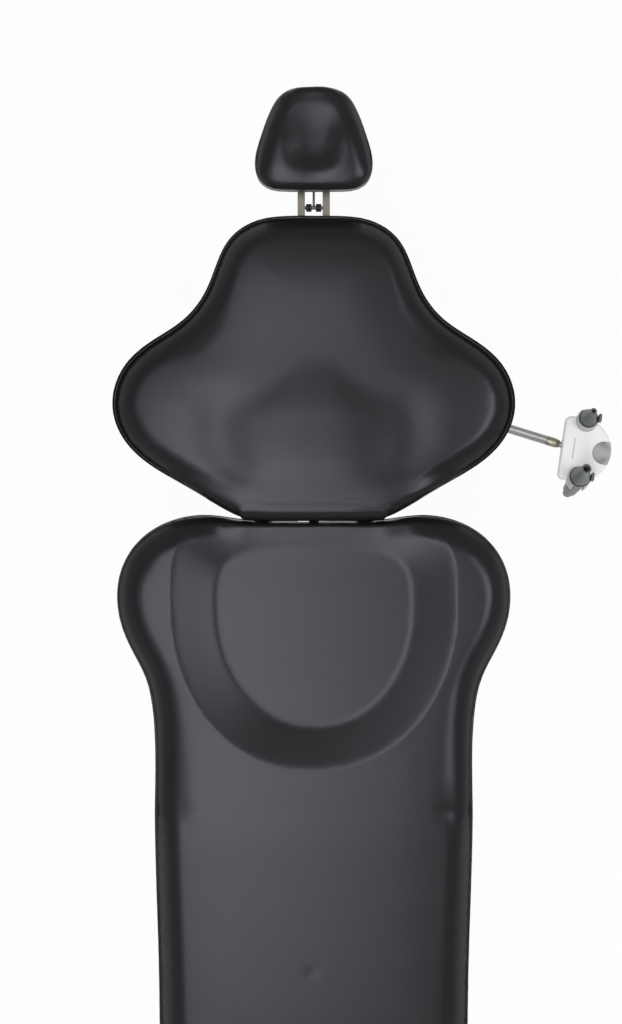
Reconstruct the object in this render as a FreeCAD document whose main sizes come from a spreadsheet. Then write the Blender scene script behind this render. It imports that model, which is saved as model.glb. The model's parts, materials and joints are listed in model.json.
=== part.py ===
import FreeCAD, Part
import math
import os
import Sketcher
from FreeCAD import Placement, Rotation, Vector

# Dental chair unit, lying flat. Millimetres. Z is up, the floor is Z = 0, the
# head lies towards +Y, and the lift column stands on the Z axis.

DIMENSIONS = [
    # floor plate and cover
    ("plate_half", 240, "floor plate, half width"),
    ("plate_long", 300, "floor plate, half length"),
    ("base_y", -125, "floor plate and cover, middle along the chair"),
    ("plate_thick", 12, "floor plate, thickness"),
    ("anchor_x", 190, "floor anchors, half spacing across"),
    ("anchor_y", 250, "floor anchors, half spacing along"),
    ("anchor_radius", 7, "floor anchor hole"),
    ("cover_half", 250, "base cover, half width"),
    ("cover_long", 310, "base cover, half length"),
    ("cover_foot", 3, "base cover, lower rim above the floor"),
    ("cover_top", 95, "base cover, top"),
    ("cover_wall", 4, "base cover, wall"),
    ("cover_corner", 110, "base cover, corner radius in plan"),
    ("cover_round", 45, "base cover, radius of the top rim"),
    # lift column
    ("outer_x", 105, "outer column, half width"),
    ("outer_y", 115, "outer column, half depth"),
    ("outer_top", 282, "outer column, top"),
    ("stage_step", 15, "column stages, step of the half widths"),
    ("stage_wall", 6, "column stages, wall"),
    ("stage_corner", 20, "column stages, corner radius of the inner stage"),
    ("middle_low", 96, "middle column, lower end"),
    ("middle_top", 358, "middle column, top"),
    ("inner_low", 178, "inner column, lower end"),
    ("inner_top", 440, "inner column, top"),
    ("glide_gap", 0.3, "glides, play to the sliding stage"),
    ("lift_y", -25, "lift spindle, place along the chair"),
    ("spindle_radius", 30, "lift spindle, fixed tube"),
    ("mid_tube_radius", 24, "lift spindle, middle tube"),
    ("lift_rod_radius", 18, "lift spindle, rod"),
    # seat frame
    ("deck_half", 110, "plate on the column, half size"),
    ("deck_top", 448, "plate on the column, top"),
    ("rail_in", 98, "seat rails, inner face"),
    ("rail_thick", 12, "seat rails, thickness"),
    ("rail_top", 498, "seat rails, top"),
    ("pan_thick", 4, "seat pan, thickness"),
    ("pan_half", 190, "seat pan, half width"),
    ("knee_y", -277, "knee bend, place along the chair"),
    ("leg_fall", 0.2126, "fall of the leg rest for each millimetre of length"),
    ("shell_low", 444, "seat shell, underside"),
    ("shell_wall", 3, "shells, wall"),
    ("shell_inset", 22, "seat shell, inset from the cushion"),
    # seat cushion
    ("seat_low", 502, "seat cushion, underside"),
    ("seat_top", 590, "seat cushion, top"),
    ("seat_rear", 190, "seat cushion, rear edge"),
    ("seat_shoulder", 199, "seat cushion, rear shoulders"),
    ("hip_half", 319.5, "seat cushion, half width at the hips"),
    ("hip_y", 74, "seat cushion, widest place"),
    ("thigh_half", 260, "seat cushion, half width at the thighs"),
    ("thigh_y", -128, "seat cushion, end of the hip curve"),
    ("leg_half", 256.5, "leg rest, half width"),
    ("foot_y", -880, "leg rest, foot end"),
    ("under_fall", 0.168, "fall of the leg rest's underside for each millimetre of length"),
    ("seat_round", 26, "seat cushion, upper edge radius"),
    ("seat_under", 16, "seat cushion, lower edge radius"),
    ("basin_y", 56, "seat basin, widest place"),
    ("basin_half", 160, "seat basin, half width of its floor"),
    ("basin_rim", 229, "seat basin, half width at the top"),
    ("basin_depth", 20, "seat basin, depth"),
    # recline hinge and drive
    ("hinge_y", 219.5, "recline hinge, place along the chair"),
    ("hinge_z", 572.5, "recline hinge, height"),
    ("hinge_radius", 10, "recline shaft"),
    ("hinge_play", 0.05, "recline shaft, running play"),
    ("bush_radius", 13, "recline bushes, outside"),
    ("lug_eye", 18, "recline lugs, eye"),
    ("lug_in", 70, "recline lugs, inner face"),
    ("lever_half", 8, "recline lever, half thickness"),
    ("lever_arm", 100, "recline lever, hinge to pin"),
    ("lever_lean", 37.5, "recline lever, lean from straight down when flat"),
    ("lever_pin_radius", 7, "recline lever pin"),
    ("drive_z", 480, "recline drive, height"),
    ("drive_rod_radius", 10, "recline drive, rod"),
    ("yoke_play", 2.5, "recline yoke, play at each side of the pin"),
    # backrest
    ("back_low", 545, "backrest cushion, underside"),
    ("back_top", 600, "backrest cushion, top"),
    ("back_round", 26, "backrest cushion, edge radius"),
    ("back_bottom", 192, "backrest, lower edge"),
    ("back_foot_half", 108, "backrest, half length of the lower edge"),
    ("back_flank_half", 214, "backrest, half width on the lower flank"),
    ("back_flank_y", 250, "backrest, place of the lower flank"),
    ("wing_half", 326, "backrest, half width at the wings"),
    ("wing_y", 378, "backrest, widest place"),
    ("waist_half", 209, "backrest, half width above the wings"),
    ("waist_y", 518, "backrest, place above the wings"),
    ("shoulder_half", 137, "backrest, half width at the top corners"),
    ("shoulder_y", 646, "backrest, place of the top corners"),
    ("back_end", 684, "backrest, upper edge"),
    ("back_shell_low", 513, "backrest shell, underside"),
    ("back_shell_inset", 16, "backrest shell, inset from the cushion"),
    ("back_shell_start", 262, "backrest shell, open lower end"),
    ("frame_low", 541, "backrest frame plate, underside"),
    ("frame_half", 85, "backrest frame plate, half width"),
    # headrest
    ("bar_x", 20.5, "headrest bars, place across"),
    ("bar_half", 6, "headrest bars, half width"),
    ("bar_low", 518, "headrest bars, underside"),
    ("bar_top", 526, "headrest bars, top"),
    ("bar_start", 500, "headrest bars, lower end"),
    ("bar_end", 772, "headrest bars, upper end"),
    ("shaft_y", 705, "cross shaft, place along the chair"),
    ("tilt_y", 790, "headrest tilt pin, place along the chair"),
    ("tilt_z", 522, "headrest tilt pin, height"),
    ("tilt_radius", 5, "headrest tilt pin"),
    ("head_low", 556, "headrest cushion, underside"),
    ("head_top", 608, "headrest cushion, top"),
    ("head_round", 23, "headrest cushion, edge radius"),
    ("head_bottom", 722, "headrest, lower edge"),
    ("head_end", 888.5, "headrest, upper edge"),
    ("head_half", 95.5, "headrest, half width"),
    ("dish_y", 824, "headrest dish, deepest place"),
    ("dish_depth", 15, "headrest dish, depth"),
    # instrument arm
    ("pivot_y", 444, "arm pivot, place along the chair"),
    ("post_radius", 15, "arm pivot post"),
    ("hub_low", 472, "arm hub, underside"),
    ("hub_top", 510, "arm hub, top"),
    ("arm_z", 491, "arm tubes, height"),
    ("arm_angle", -17.2, "arm at rest, degrees from +X"),
    ("sleeve_radius", 11.5, "arm sleeve"),
    ("sleeve_end", 200, "arm sleeve, end from the pivot"),
    ("tube_radius", 7.5, "arm tube"),
    ("tube_start", 65, "arm tube, inner end from the pivot"),
    ("tube_end", 405, "arm tube, outer end from the pivot"),
    ("collar_end", 427, "arm tube collar, outer end from the pivot"),
    ("neck_radius", 5, "arm neck"),
    ("slide_play", 0.1, "arm tubes, radial play"),
    # holder
    ("swivel_reach", 463, "holder swivel, distance from the pivot"),
    ("holder_angle", -8.4, "holder at rest, outward direction in degrees from +X"),
    ("holder_half", 53, "holder plate, half width and radius of its arc"),
    ("holder_back", 34, "holder plate, straight edge behind the swivel"),
    ("holder_front", 47, "holder plate, front flat ahead of the swivel"),
    ("holder_low", 506, "holder plate, underside"),
    ("holder_top", 520, "holder plate, top"),
    ("holder_wall", 2.5, "holder plate, wall"),
    ("cup_x", 48.5, "cups, place to each side of the swivel"),
    ("cup_lean", 12, "cups, lean in degrees"),
    ("cup_low", -12, "cups, lower rim on their own axis"),
    ("cup_high", 12, "cups, upper rim on their own axis"),
    ("button_radius", 18.5, "thumb button"),
    ("hve_bore", 5.5, "large suction bore"),
    ("ejector_bore", 3.25, "small suction bore"),
]

doc = FreeCAD.newDocument("dental_chair_unit")
sheet = doc.addObject("Spreadsheet::Sheet", "dims")


class Size:
    """A length with both its value and the sheet expression that gives it."""

    def __init__(self, text, value):
        self.text = text
        self.value = value

    def joined(self, sign, other, value):
        return Size(f"({self.text} {sign} {size(other).text})", value)

    def __add__(self, other):
        return self.joined("+", other, self.value + size(other).value)

    def __sub__(self, other):
        return self.joined("-", other, self.value - size(other).value)

    def __mul__(self, other):
        return self.joined("*", other, self.value * size(other).value)

    def __truediv__(self, other):
        return self.joined("/", other, self.value / size(other).value)

    def __radd__(self, other):
        return size(other) + self

    def __rsub__(self, other):
        return size(other) - self

    def __rmul__(self, other):
        return size(other) * self

    def __neg__(self):
        return 0 - self


def size(number):
    """A plain number as a Size; a Size stays as it is."""
    if isinstance(number, Size):
        return number
    return Size(f"({number})", float(number))


class Dims:
    """The cells of the sheet by name."""


d = Dims()
for row, (alias, value, meaning) in enumerate(DIMENSIONS, 1):
    sheet.set(f"A{row}", meaning)
    sheet.set(f"B{row}", str(value))
    sheet.setAlias(f"B{row}", alias)
    setattr(d, alias, Size(f"dims.{alias}", float(value)))
doc.recompute()

sub_parts = {}


def keep(node, solid, placement=None):
    """Name a finished sub-part; its own placement moves it into the chair."""
    solid.Label = node
    if placement is not None:
        solid.Placement = placement
    sub_parts[node] = solid
    return solid


def bind(thing, field, amount):
    thing.setExpression(field, size(amount).text)


def block(x, y, z):
    """A box between two ends on each axis."""
    solid = doc.addObject("Part::Box", "block")
    for side, axis, (low, high) in zip(("Length", "Width", "Height"), "xyz", (x, y, z)):
        bind(solid, side, size(high) - low)
        bind(solid, f"Placement.Base.{axis}", low)
    return solid


def rod(axis, across, span, radius):
    """A cylinder along an axis; across holds the other two coordinates in xyz order."""
    solid = doc.addObject("Part::Cylinder", "rod")
    turn = {"x": Rotation(Vector(0, 1, 0), 90), "y": Rotation(Vector(1, 0, 0), -90), "z": Rotation()}
    solid.Placement = Placement(Vector(), turn[axis])
    low, high = span
    bind(solid, "Radius", radius)
    bind(solid, "Height", size(high) - low)
    centre = iter(across)
    for name in "xyz":
        bind(solid, f"Placement.Base.{name}", low if name == axis else next(centre))
    return solid


def fuse(*solids):
    joined = doc.addObject("Part::MultiFuse", "fuse")
    joined.Shapes = list(solids)
    return joined


def group(*solids):
    """Separate like solids kept as one sub-part."""
    together = doc.addObject("Part::Compound", "group")
    together.Links = list(solids)
    return together


def cut(base, *tools):
    result = doc.addObject("Part::Cut", "cut")
    result.Base = base
    result.Tool = tools[0] if len(tools) == 1 else fuse(*tools)
    return result


def common(first, second):
    result = doc.addObject("Part::Common", "common")
    result.Base = first
    result.Tool = second
    return result


def rounded(base, radius, wanted):
    """Round the edges of a solid that the test picks out."""
    doc.recompute()
    result = doc.addObject("Part::Fillet", "rounded")
    result.Base = base
    amount = size(radius).value
    picked = [i for i, edge in enumerate(base.Shape.Edges, 1) if wanted(edge)]
    result.Edges = [(i, amount, amount) for i in picked]
    return result


def upright(edge):
    """True for a straight edge along Z."""
    ends = edge.BoundBox
    return ends.XLength < 1e-6 and ends.YLength < 1e-6


def at_height(z):
    """A test for edges that lie flat at one height."""
    level = size(z).value
    return lambda edge: edge.BoundBox.ZLength < 1e-6 and abs(edge.BoundBox.ZMax - level) < 1e-6


def round_block(x, y, z, corner):
    return rounded(block(x, y, z), corner, upright)


def sketch_in(body, role, points):
    """A closed polygon on an origin plane, each corner held by two sheet lengths."""
    plane = [item for item in body.Origin.OriginFeatures if item.Role == role][0]
    sketch = body.newObject("Sketcher::SketchObject", "profile")
    sketch.AttachmentSupport = [(plane, "")]
    sketch.MapMode = "FlatFace"
    corners = [(size(a), size(b)) for a, b in points]
    for (a, b), (c, e) in zip(corners, corners[1:] + corners[:1]):
        line = Part.LineSegment(Vector(a.value, b.value, 0), Vector(c.value, e.value, 0))
        sketch.addGeometry(line)
    for i, (a, b) in enumerate(corners):
        sketch.addConstraint(Sketcher.Constraint("Coincident", i, 2, (i + 1) % len(corners), 1))
        for kind, amount in (("DistanceX", a), ("DistanceY", b)):
            held = sketch.addConstraint(Sketcher.Constraint(kind, -1, 1, i, 1, amount.value))
            sketch.renameConstraint(held, f"{kind}{i}")
            sketch.setExpression(f"Constraints.{kind}{i}", amount.text)
    return sketch


def padded(points, x):
    """A side profile of (y, z) corners made solid from one X to another."""
    body = doc.addObject("PartDesign::Body", "padded")
    sketch = sketch_in(body, "YZ_Plane", points)
    pad = body.newObject("PartDesign::Pad", "pad")
    pad.Profile = sketch
    bind(pad, "Length", size(x[1]) - x[0])
    bind(body, "Placement.Base.x", x[0])
    return body


def turned(points):
    """A profile of (radius, height) corners turned about Z."""
    body = doc.addObject("PartDesign::Body", "turned")
    sketch = sketch_in(body, "XZ_Plane", points)
    turn = body.newObject("PartDesign::Revolution", "turn")
    turn.Profile = sketch
    turn.ReferenceAxis = (sketch, ["V_Axis"])
    turn.Angle = 360
    return body


def mirrored(solid):
    """The same solid on the other side of the plane X = 0."""
    twin = doc.addObject("Part::Mirroring", "mirrored")
    twin.Source = solid
    twin.Normal = Vector(1, 0, 0)
    return twin


def shaped(shape):
    """A free-form solid that no primitive gives."""
    feature = doc.addObject("Part::Feature", "shaped")
    feature.Shape = shape
    return feature


def inset(points, amount):
    """Points of a right-hand half outline moved inwards along the outline's normal."""
    whole = [(-points[1][0], points[1][1])] + points + [(-points[-2][0], points[-2][1])]
    moved = []
    for (ax, ay), (bx, by), (cx, cy) in zip(whole, whole[1:], whole[2:]):
        along = Vector(cx - ax, cy - ay, 0).normalize()
        moved.append((bx + along.y * amount, by - along.x * amount))
    return moved


def smooth_face(points, z):
    """A face inside a smooth closed outline, given its right-hand half from top to bottom."""
    right = [Vector(x, y, z) for x, y in points]
    left = [Vector(-p.x, p.y, p.z) for p in reversed(right) if p.x > 1e-9]
    curve = Part.BSplineCurve()
    curve.interpolate(Points=right + left, PeriodicFlag=True)
    return Part.Face(Part.Wire(curve.toShape()))


def slab(points, low, high):
    """A smooth outline made solid between two heights."""
    return smooth_face(points, size(low).value).extrude(Vector(0, 0, (size(high) - low).value))


def values(points):
    return [(size(x).value, size(y).value) for x, y in points]


def side_prism(points):
    """A side profile of (y, z) corners wider than the chair."""
    corners = [Vector(-400, size(y).value, size(z).value) for y, z in points]
    return Part.Face(Part.makePolygon(corners + corners[:1])).extrude(Vector(800, 0, 0))


# Outlines of the three cushions, right-hand halves from the head end downwards.

back_outline = values([
    (0, d.back_end),
    (d.shoulder_half - 90, d.back_end - 0.5),
    (d.shoulder_half - 44, d.back_end - 8),
    (d.shoulder_half, d.shoulder_y),
    (d.shoulder_half + 20, d.shoulder_y - 38),
    (d.shoulder_half + 41, d.shoulder_y - 89),
    (d.waist_half, d.waist_y),
    (d.waist_half + 56, d.waist_y - 38),
    (d.wing_half - 20, d.wing_y + 64),
    (d.wing_half, d.wing_y),
    (d.wing_half - 16, d.wing_y - 52),
    (d.wing_half - 51, d.wing_y - 90),
    (d.back_flank_half, d.back_flank_y),
    (d.back_flank_half - 63, d.back_flank_y - 37),
    (d.back_foot_half, d.back_bottom + 2),
    (d.back_foot_half - 52, d.back_bottom),
    (0, d.back_bottom),
])

seat_outline = values([
    (0, d.seat_rear),
    (60, d.seat_rear),
    (115, d.seat_rear + 1.5),
    (170, d.seat_shoulder),
    (228, d.seat_shoulder - 7.5),
    (d.hip_half - 40, d.hip_y + 89),
    (d.hip_half - 9, d.hip_y + 44),
    (d.hip_half, d.hip_y),
    (d.hip_half - 5, d.hip_y - 45),
    (d.hip_half - 22.5, d.hip_y - 90),
    (d.hip_half - 45.5, d.hip_y - 135),
    (d.thigh_half, d.thigh_y),
    (d.leg_half + 2, d.knee_y),
    (d.leg_half, (d.knee_y + d.foot_y) / 2),
    (d.leg_half - 1, d.foot_y + 150),
    (d.leg_half - 10, d.foot_y + 80),
    (d.leg_half - 40, d.foot_y + 28),
    (d.leg_half - 90, d.foot_y + 6),
    (d.leg_half - 160, d.foot_y),
    (0, d.foot_y),
])

head_outline = values([
    (0, d.head_end),
    (24, d.head_end - 0.8),
    (50, d.head_end - 10),
    (d.head_half - 24, d.head_end - 40),
    (d.head_half - 9, d.head_end - 81),
    (d.head_half, d.head_bottom + 41),
    (d.head_half - 8, d.head_bottom + 15),
    (d.head_half - 26, d.head_bottom + 3),
    (d.head_half - 50, d.head_bottom),
    (0, d.head_bottom),
])


def leg_drop(y):
    """Fall of the leg rest's top at a place beyond the knee."""
    return (d.knee_y - y) * d.leg_fall


def under_drop(y):
    """Fall of the leg rest's underside at a place beyond the knee."""
    return (d.knee_y - y) * d.under_fall


# Floor plate, with posts for the cover and holes for anchors, feet and column bolts

def four(half_x, half_y, middle=0):
    """Four places in a rectangle about a middle along the chair."""
    return [(sx * size(half_x), size(middle) + sy * size(half_y)) for sx in (-1, 1) for sy in (-1, 1)]


def pegs(places, span, radius):
    """Upright cylinders at each place."""
    return [rod("z", place, span, radius) for place in places]


post_places = four(180, 230, d.base_y)
foot_places = four(215, 150, d.base_y)
bolt_places = four(130, 140)
posts = pegs(post_places, (d.plate_thick, d.cover_top - d.cover_wall), 8)
plate = round_block((-d.plate_half, d.plate_half), (d.base_y - d.plate_long, d.base_y + d.plate_long),
                    (0, d.plate_thick), 100)
plate_holes = pegs(four(d.anchor_x, d.anchor_y, d.base_y), (-1, d.plate_thick + 1), d.anchor_radius)
plate_holes += pegs(foot_places, (-1, d.plate_thick + 1), 6.2)
plate_holes += pegs(bolt_places, (2, d.plate_thick + 1), 5.2)
plate_holes += pegs(post_places, (70, d.cover_top), 2.6)
keep("floor_plate", cut(fuse(plate, *posts), *plate_holes))

feet = [fuse(rod("z", place, (0, d.plate_thick), 6), rod("z", place, (d.plate_thick, d.plate_thick + 8), 11))
        for place in foot_places]
keep("leveling_screws", group(*feet))

# Base cover, a hollow lid with an opening for the column

def lid(offset, top):
    """A block with round corners and a round top rim, smaller by an offset."""
    body = round_block((-d.cover_half + offset, d.cover_half - offset),
                       (d.base_y - d.cover_long + offset, d.base_y + d.cover_long - offset),
                       (d.cover_foot, top), d.cover_corner - offset)
    return rounded(body, d.cover_round - offset, at_height(top))


column_hole = block((-d.outer_x - 2, d.outer_x + 2), (-d.outer_y - 2, d.outer_y + 2), (60, d.cover_top + 5))
screw_holes = pegs(post_places, (80, d.cover_top + 5), 2.8)
inlet_face = d.base_y - d.cover_long
inlet_hole = block((-105, -55), (inlet_face - 5, inlet_face + 10), (25, 57))
lower_hollow = lid(d.cover_wall, d.cover_top - d.cover_wall)
open_foot = round_block((-d.cover_half + d.cover_wall, d.cover_half - d.cover_wall),
                        (inlet_face + d.cover_wall, d.base_y + d.cover_long - d.cover_wall),
                        (d.cover_foot - 1, d.cover_foot + 4), d.cover_corner - d.cover_wall)
keep("base_cover", cut(lid(0, d.cover_top), lower_hollow, open_foot, column_hole, inlet_hole, *screw_holes))

screws = [fuse(rod("z", place, (72, d.cover_top), 2.5), rod("z", place, (d.cover_top, d.cover_top + 3), 5.5))
          for place in post_places]
keep("cover_screws", group(*screws))

inlet = fuse(block((-109, -51), (inlet_face - 3, inlet_face), (21, 61)),
             block((-104.5, -55.5), (inlet_face, inlet_face + 34), (25.5, 56.5)))
inlet_socket = block((-97, -63), (inlet_face - 4, inlet_face + 20), (32, 50))
inlet_pins = [block((x - 1, x + 1), (inlet_face + 2, inlet_face + 22), (38, 44)) for x in (-89, -80, -71)]
keep("power_inlet", fuse(cut(inlet, inlet_socket), *inlet_pins))

# Lift column of three stages, with glides and a telescopic spindle inside

def stage(step, low, high):
    """One rectangular tube of the column, each step smaller than the last."""
    wall = d.stage_wall
    half_x = d.outer_x - step * d.stage_step
    half_y = d.outer_y - step * d.stage_step
    corner = d.stage_corner + 4 - 2 * step
    outside = round_block((-half_x, half_x), (-half_y, half_y), (low, high), corner)
    inside = round_block((wall - half_x, half_x - wall), (wall - half_y, half_y - wall),
                         (size(low) - 1, size(high) + 1), corner - wall)
    return outside, inside


def glides(step, low, high):
    """Four pads between a stage and the next smaller one."""
    wide_x = d.outer_x - step * d.stage_step - d.stage_wall
    wide_y = d.outer_y - step * d.stage_step - d.stage_wall
    thick = d.stage_step - d.stage_wall - d.glide_gap
    pads = []
    for sign in (-1, 1):
        sides = (wide_x - thick, wide_x) if sign > 0 else (-wide_x, thick - wide_x)
        ends = (wide_y - thick, wide_y) if sign > 0 else (-wide_y, thick - wide_y)
        pads.append(block(sides, (-45, 45), (low, high)))
        pads.append(block((-40, 40), ends, (low, high)))
    return group(*pads)


flange = round_block((-150, 150), (-160, 160), (d.plate_thick, d.plate_thick + 10), 20)
outer_tube, outer_space = stage(0, d.plate_thick, d.outer_top)
flange_holes = pegs(bolt_places, (d.plate_thick - 1, d.plate_thick + 11), 5.4)
keep("column_outer", cut(fuse(flange, outer_tube), outer_space, *flange_holes))
bolts = [fuse(rod("z", place, (3, d.plate_thick + 10), 5),
              rod("z", place, (d.plate_thick + 10, d.plate_thick + 18), 8.5)) for place in bolt_places]
keep("column_bolts", group(*bolts))
keep("outer_glides", glides(0, d.outer_top - 44, d.outer_top - 4))

gear_case = round_block((-45, 45), (-62, 62), (d.plate_thick, d.plate_thick + 50), 12)
spindle_tube = rod("z", (0, d.lift_y), (d.plate_thick + 50, d.outer_top - 6), d.spindle_radius)
lift_motor = rod("z", (0, 34), (d.plate_thick + 50, 190), 26)
spindle_bore = rod("z", (0, d.lift_y), (d.plate_thick + 18, d.outer_top), d.mid_tube_radius + d.slide_play)
keep("lift_actuator", cut(fuse(gear_case, spindle_tube, lift_motor), spindle_bore))

case = round_block((-140, 140), (-380, -225), (d.plate_thick, d.plate_thick + 56), 10)
case_lid = round_block((-144, 144), (-384, -221), (d.plate_thick + 56, d.plate_thick + 62), 12)
fins = [block((20 * i - 113, 20 * i - 107), (-360, -245), (d.plate_thick + 62, d.plate_thick + 68)) for i in range(12)]
keep("control_box", fuse(case, case_lid, *fins))

middle_tube, middle_space = stage(1, d.middle_low, d.middle_top)
keep("column_middle", cut(middle_tube, middle_space))
keep("middle_glides", glides(1, d.middle_top - 44, d.middle_top - 4))
keep("lift_mid_tube", cut(rod("z", (0, d.lift_y), (104, 346), d.mid_tube_radius),
                          rod("z", (0, d.lift_y), (103, 347), d.lift_rod_radius + d.slide_play)))

inner_tube, inner_space = stage(2, d.inner_low, d.inner_top)
keep("column_inner", cut(inner_tube, inner_space))
keep("lift_rod", fuse(rod("z", (0, d.lift_y), (186, d.inner_top), d.lift_rod_radius),
                      rod("z", (0, d.lift_y), (d.inner_top - 10, d.inner_top), 34)))
keep("column_top_plate", round_block((-d.deck_half, d.deck_half), (-d.deck_half, d.deck_half),
                                     (d.inner_top, d.deck_top), 16))

# Seat frame: two bent rails, the bent pan, hinge lugs and the cross bar of the drive

rail_foot = d.foot_y + 100
rail_points = [
    (135, d.deck_top),
    (135, d.rail_top),
    (d.knee_y, d.rail_top),
    (rail_foot, d.rail_top - under_drop(rail_foot)),
    (rail_foot, d.rail_top - under_drop(rail_foot) - 24),
    (d.knee_y - 23, d.deck_top),
]
lug_bolt_places = [(80, 475), (122, 475)]
rail = padded(rail_points, (d.rail_in, d.rail_in + d.rail_thick))
rail_holes = [rod("x", at, (d.rail_in - 1, d.rail_in + d.rail_thick + 1), 5.3) for at in lug_bolt_places]
rail_right = keep("seat_rail_right", cut(rail, *rail_holes))
keep("seat_rail_left", mirrored(rail_right))

pan_foot = d.foot_y + 80
pan_points = [
    (150, d.rail_top),
    (150, d.rail_top + d.pan_thick),
    (d.knee_y + 14, d.rail_top + d.pan_thick),
    (d.knee_y - 14, d.rail_top + d.pan_thick - under_drop(d.knee_y - 14)),
    (pan_foot, d.rail_top + d.pan_thick - under_drop(pan_foot)),
    (pan_foot, d.rail_top - under_drop(pan_foot)),
    (d.knee_y, d.rail_top),
]
lever_notch = block((-26, 26), (115, 260), (d.rail_top - 10, d.seat_low + 5))
keep("seat_pan", cut(padded(pan_points, (-d.pan_half, d.pan_half)), lever_notch))

lug = fuse(block((d.lug_in, d.rail_in), (60, d.hinge_y + d.lug_eye), (455, 495)),
           block((d.lug_in, d.rail_in), (d.hinge_y - 5, d.hinge_y + d.lug_eye), (475, d.hinge_z)),
           rod("x", (d.hinge_y, d.hinge_z), (d.lug_in, d.rail_in), d.lug_eye))
lug_holes = [rod("x", at, (d.lug_in + 8, d.rail_in + 1), 5.1) for at in lug_bolt_places]
lug_bore = rod("x", (d.hinge_y, d.hinge_z), (d.lug_in - 1, d.rail_in + 1), d.bush_radius)
lug_right = cut(lug, lug_bore, *lug_holes)
keep("hinge_lugs", group(lug_right, mirrored(lug_right)))

bush = cut(rod("x", (d.hinge_y, d.hinge_z), (d.lug_in, d.rail_in), d.bush_radius),
           rod("x", (d.hinge_y, d.hinge_z), (d.lug_in - 1, d.rail_in + 1), d.hinge_radius + d.hinge_play))
keep("hinge_bushes", group(bush, mirrored(bush)))

outer_face = d.rail_in + d.rail_thick
side_bolts = [fuse(rod("x", at, (d.lug_in + 10, outer_face), 5), rod("x", at, (outer_face, outer_face + 6), 8))
              for at in lug_bolt_places]
keep("lug_bolts", group(*side_bolts, *[mirrored(bolt) for bolt in side_bolts]))

clevis_y = -188
bar = block((-d.rail_in, d.rail_in), (-235, -207), (455, 493))
ears = [block(side, (-207, clevis_y + 12), (d.drive_z - 13, d.drive_z + 13)) for side in ((14, 22), (-22, -14))]
clevis_bore = rod("x", (clevis_y, d.drive_z), (-30, 30), 6)
keep("actuator_crossbar", cut(fuse(bar, *ears), clevis_bore))
keep("actuator_pin", rod("x", (clevis_y, d.drive_z), (-25, 25), 6))

drive_eye = fuse(rod("x", (clevis_y, d.drive_z), (-13.6, 13.6), 12),
                 block((-13.6, 13.6), (clevis_y, -150), (d.drive_z - 12, d.drive_z + 12)))
drive_case = round_block((-24, 66), (-165, -112), (455, 495), 8)
drive_tube = rod("y", (0, d.drive_z), (-112, 95), 16)
drive_motor = rod("y", (44, d.drive_z - 5), (-112, 10), 20)
drive_bore = rod("y", (0, d.drive_z), (-105, 96), d.drive_rod_radius + d.slide_play)
drive_pin_bore = rod("x", (clevis_y, d.drive_z), (-30, 30), 6)
keep("recline_actuator", cut(fuse(drive_eye, drive_case, drive_tube, drive_motor), drive_bore, drive_pin_bore))

# Seat cushion and the white shell under it, both bent at the knee

cushion_side = [
    (260, d.seat_low),
    (260, d.seat_top),
    (d.knee_y, d.seat_top),
    (d.foot_y - 20, d.seat_top - leg_drop(d.foot_y - 20)),
    (d.foot_y - 20, d.seat_low - under_drop(d.foot_y - 20)),
    (d.knee_y, d.seat_low),
]


def across(edge):
    """True for a straight edge along X."""
    ends = edge.BoundBox
    return ends.YLength < 1e-6 and ends.ZLength < 1e-6 and ends.XLength > 1


bent = side_prism(cushion_side)
knee = [e for e in bent.Edges if across(e) and abs(e.BoundBox.YMin - d.knee_y.value) < 1e-6]
bent = bent.makeFillet(160, knee)
seat_solid = slab(seat_outline, 300, 700).common(bent)


def rim_edges(solid, facing):
    """Edges between the outline's wall and the faces that look up or down."""
    found = []
    for edge in solid.Edges:
        tilts = []
        for face in solid.ancestorsOfType(edge, Part.Face):
            u, v = face.Surface.parameter(face.CenterOfMass)
            tilts.append(face.normalAt(u, v).z * facing)
        if max(tilts) > 0.7 and min(tilts) < 0.3:
            found.append(edge)
    return found


seat_solid = seat_solid.makeFillet(d.seat_round.value, rim_edges(seat_solid, 1))
seat_solid = seat_solid.makeFillet(d.seat_under.value, rim_edges(seat_solid, -1))


def egg(half, above, below, blunt_above, blunt_below):
    """Points of a smooth closed egg in plan about the basin's widest place."""
    points = []
    for i in range(32):
        turn = math.tau * i / 32
        across_part, along_part = math.cos(turn), math.sin(turn)
        reach, blunt = (above, blunt_above) if along_part > 0 else (below, blunt_below)
        x = half * math.copysign(abs(across_part) ** (2 / blunt), across_part)
        y = reach * math.copysign(abs(along_part) ** (2 / blunt), along_part)
        points.append(Vector(x, d.basin_y.value + y, 0))
    return points


def level_loop(points, z):
    """A smooth closed loop through the points, at one height."""
    curve = Part.BSplineCurve()
    curve.interpolate(Points=[Vector(p.x, p.y, z) for p in points], PeriodicFlag=True)
    return Part.Wire(curve.toShape())


# The basin has a level floor and a sloped rim, which runs out over the rear edge.
basin_floor = egg(d.basin_half.value, 92, 197, 3.4, 2.1)
basin_top = egg(d.basin_rim.value, 150, 265, 4, 2.1)
beyond = [top + top - floor for floor, top in zip(basin_floor, basin_top)]
floor_z = (d.seat_top - d.basin_depth).value
beyond_z = (d.seat_top + d.basin_depth).value
basin = Part.makeLoft([level_loop(basin_floor, floor_z), level_loop(beyond, beyond_z)], True, True)
yoke_notch = block((-25, 25), (120, 260), (d.seat_low - 5, d.seat_low + 57))
keep("seat_cushion", cut(shaped(seat_solid.cut(basin)), yoke_notch))

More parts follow.
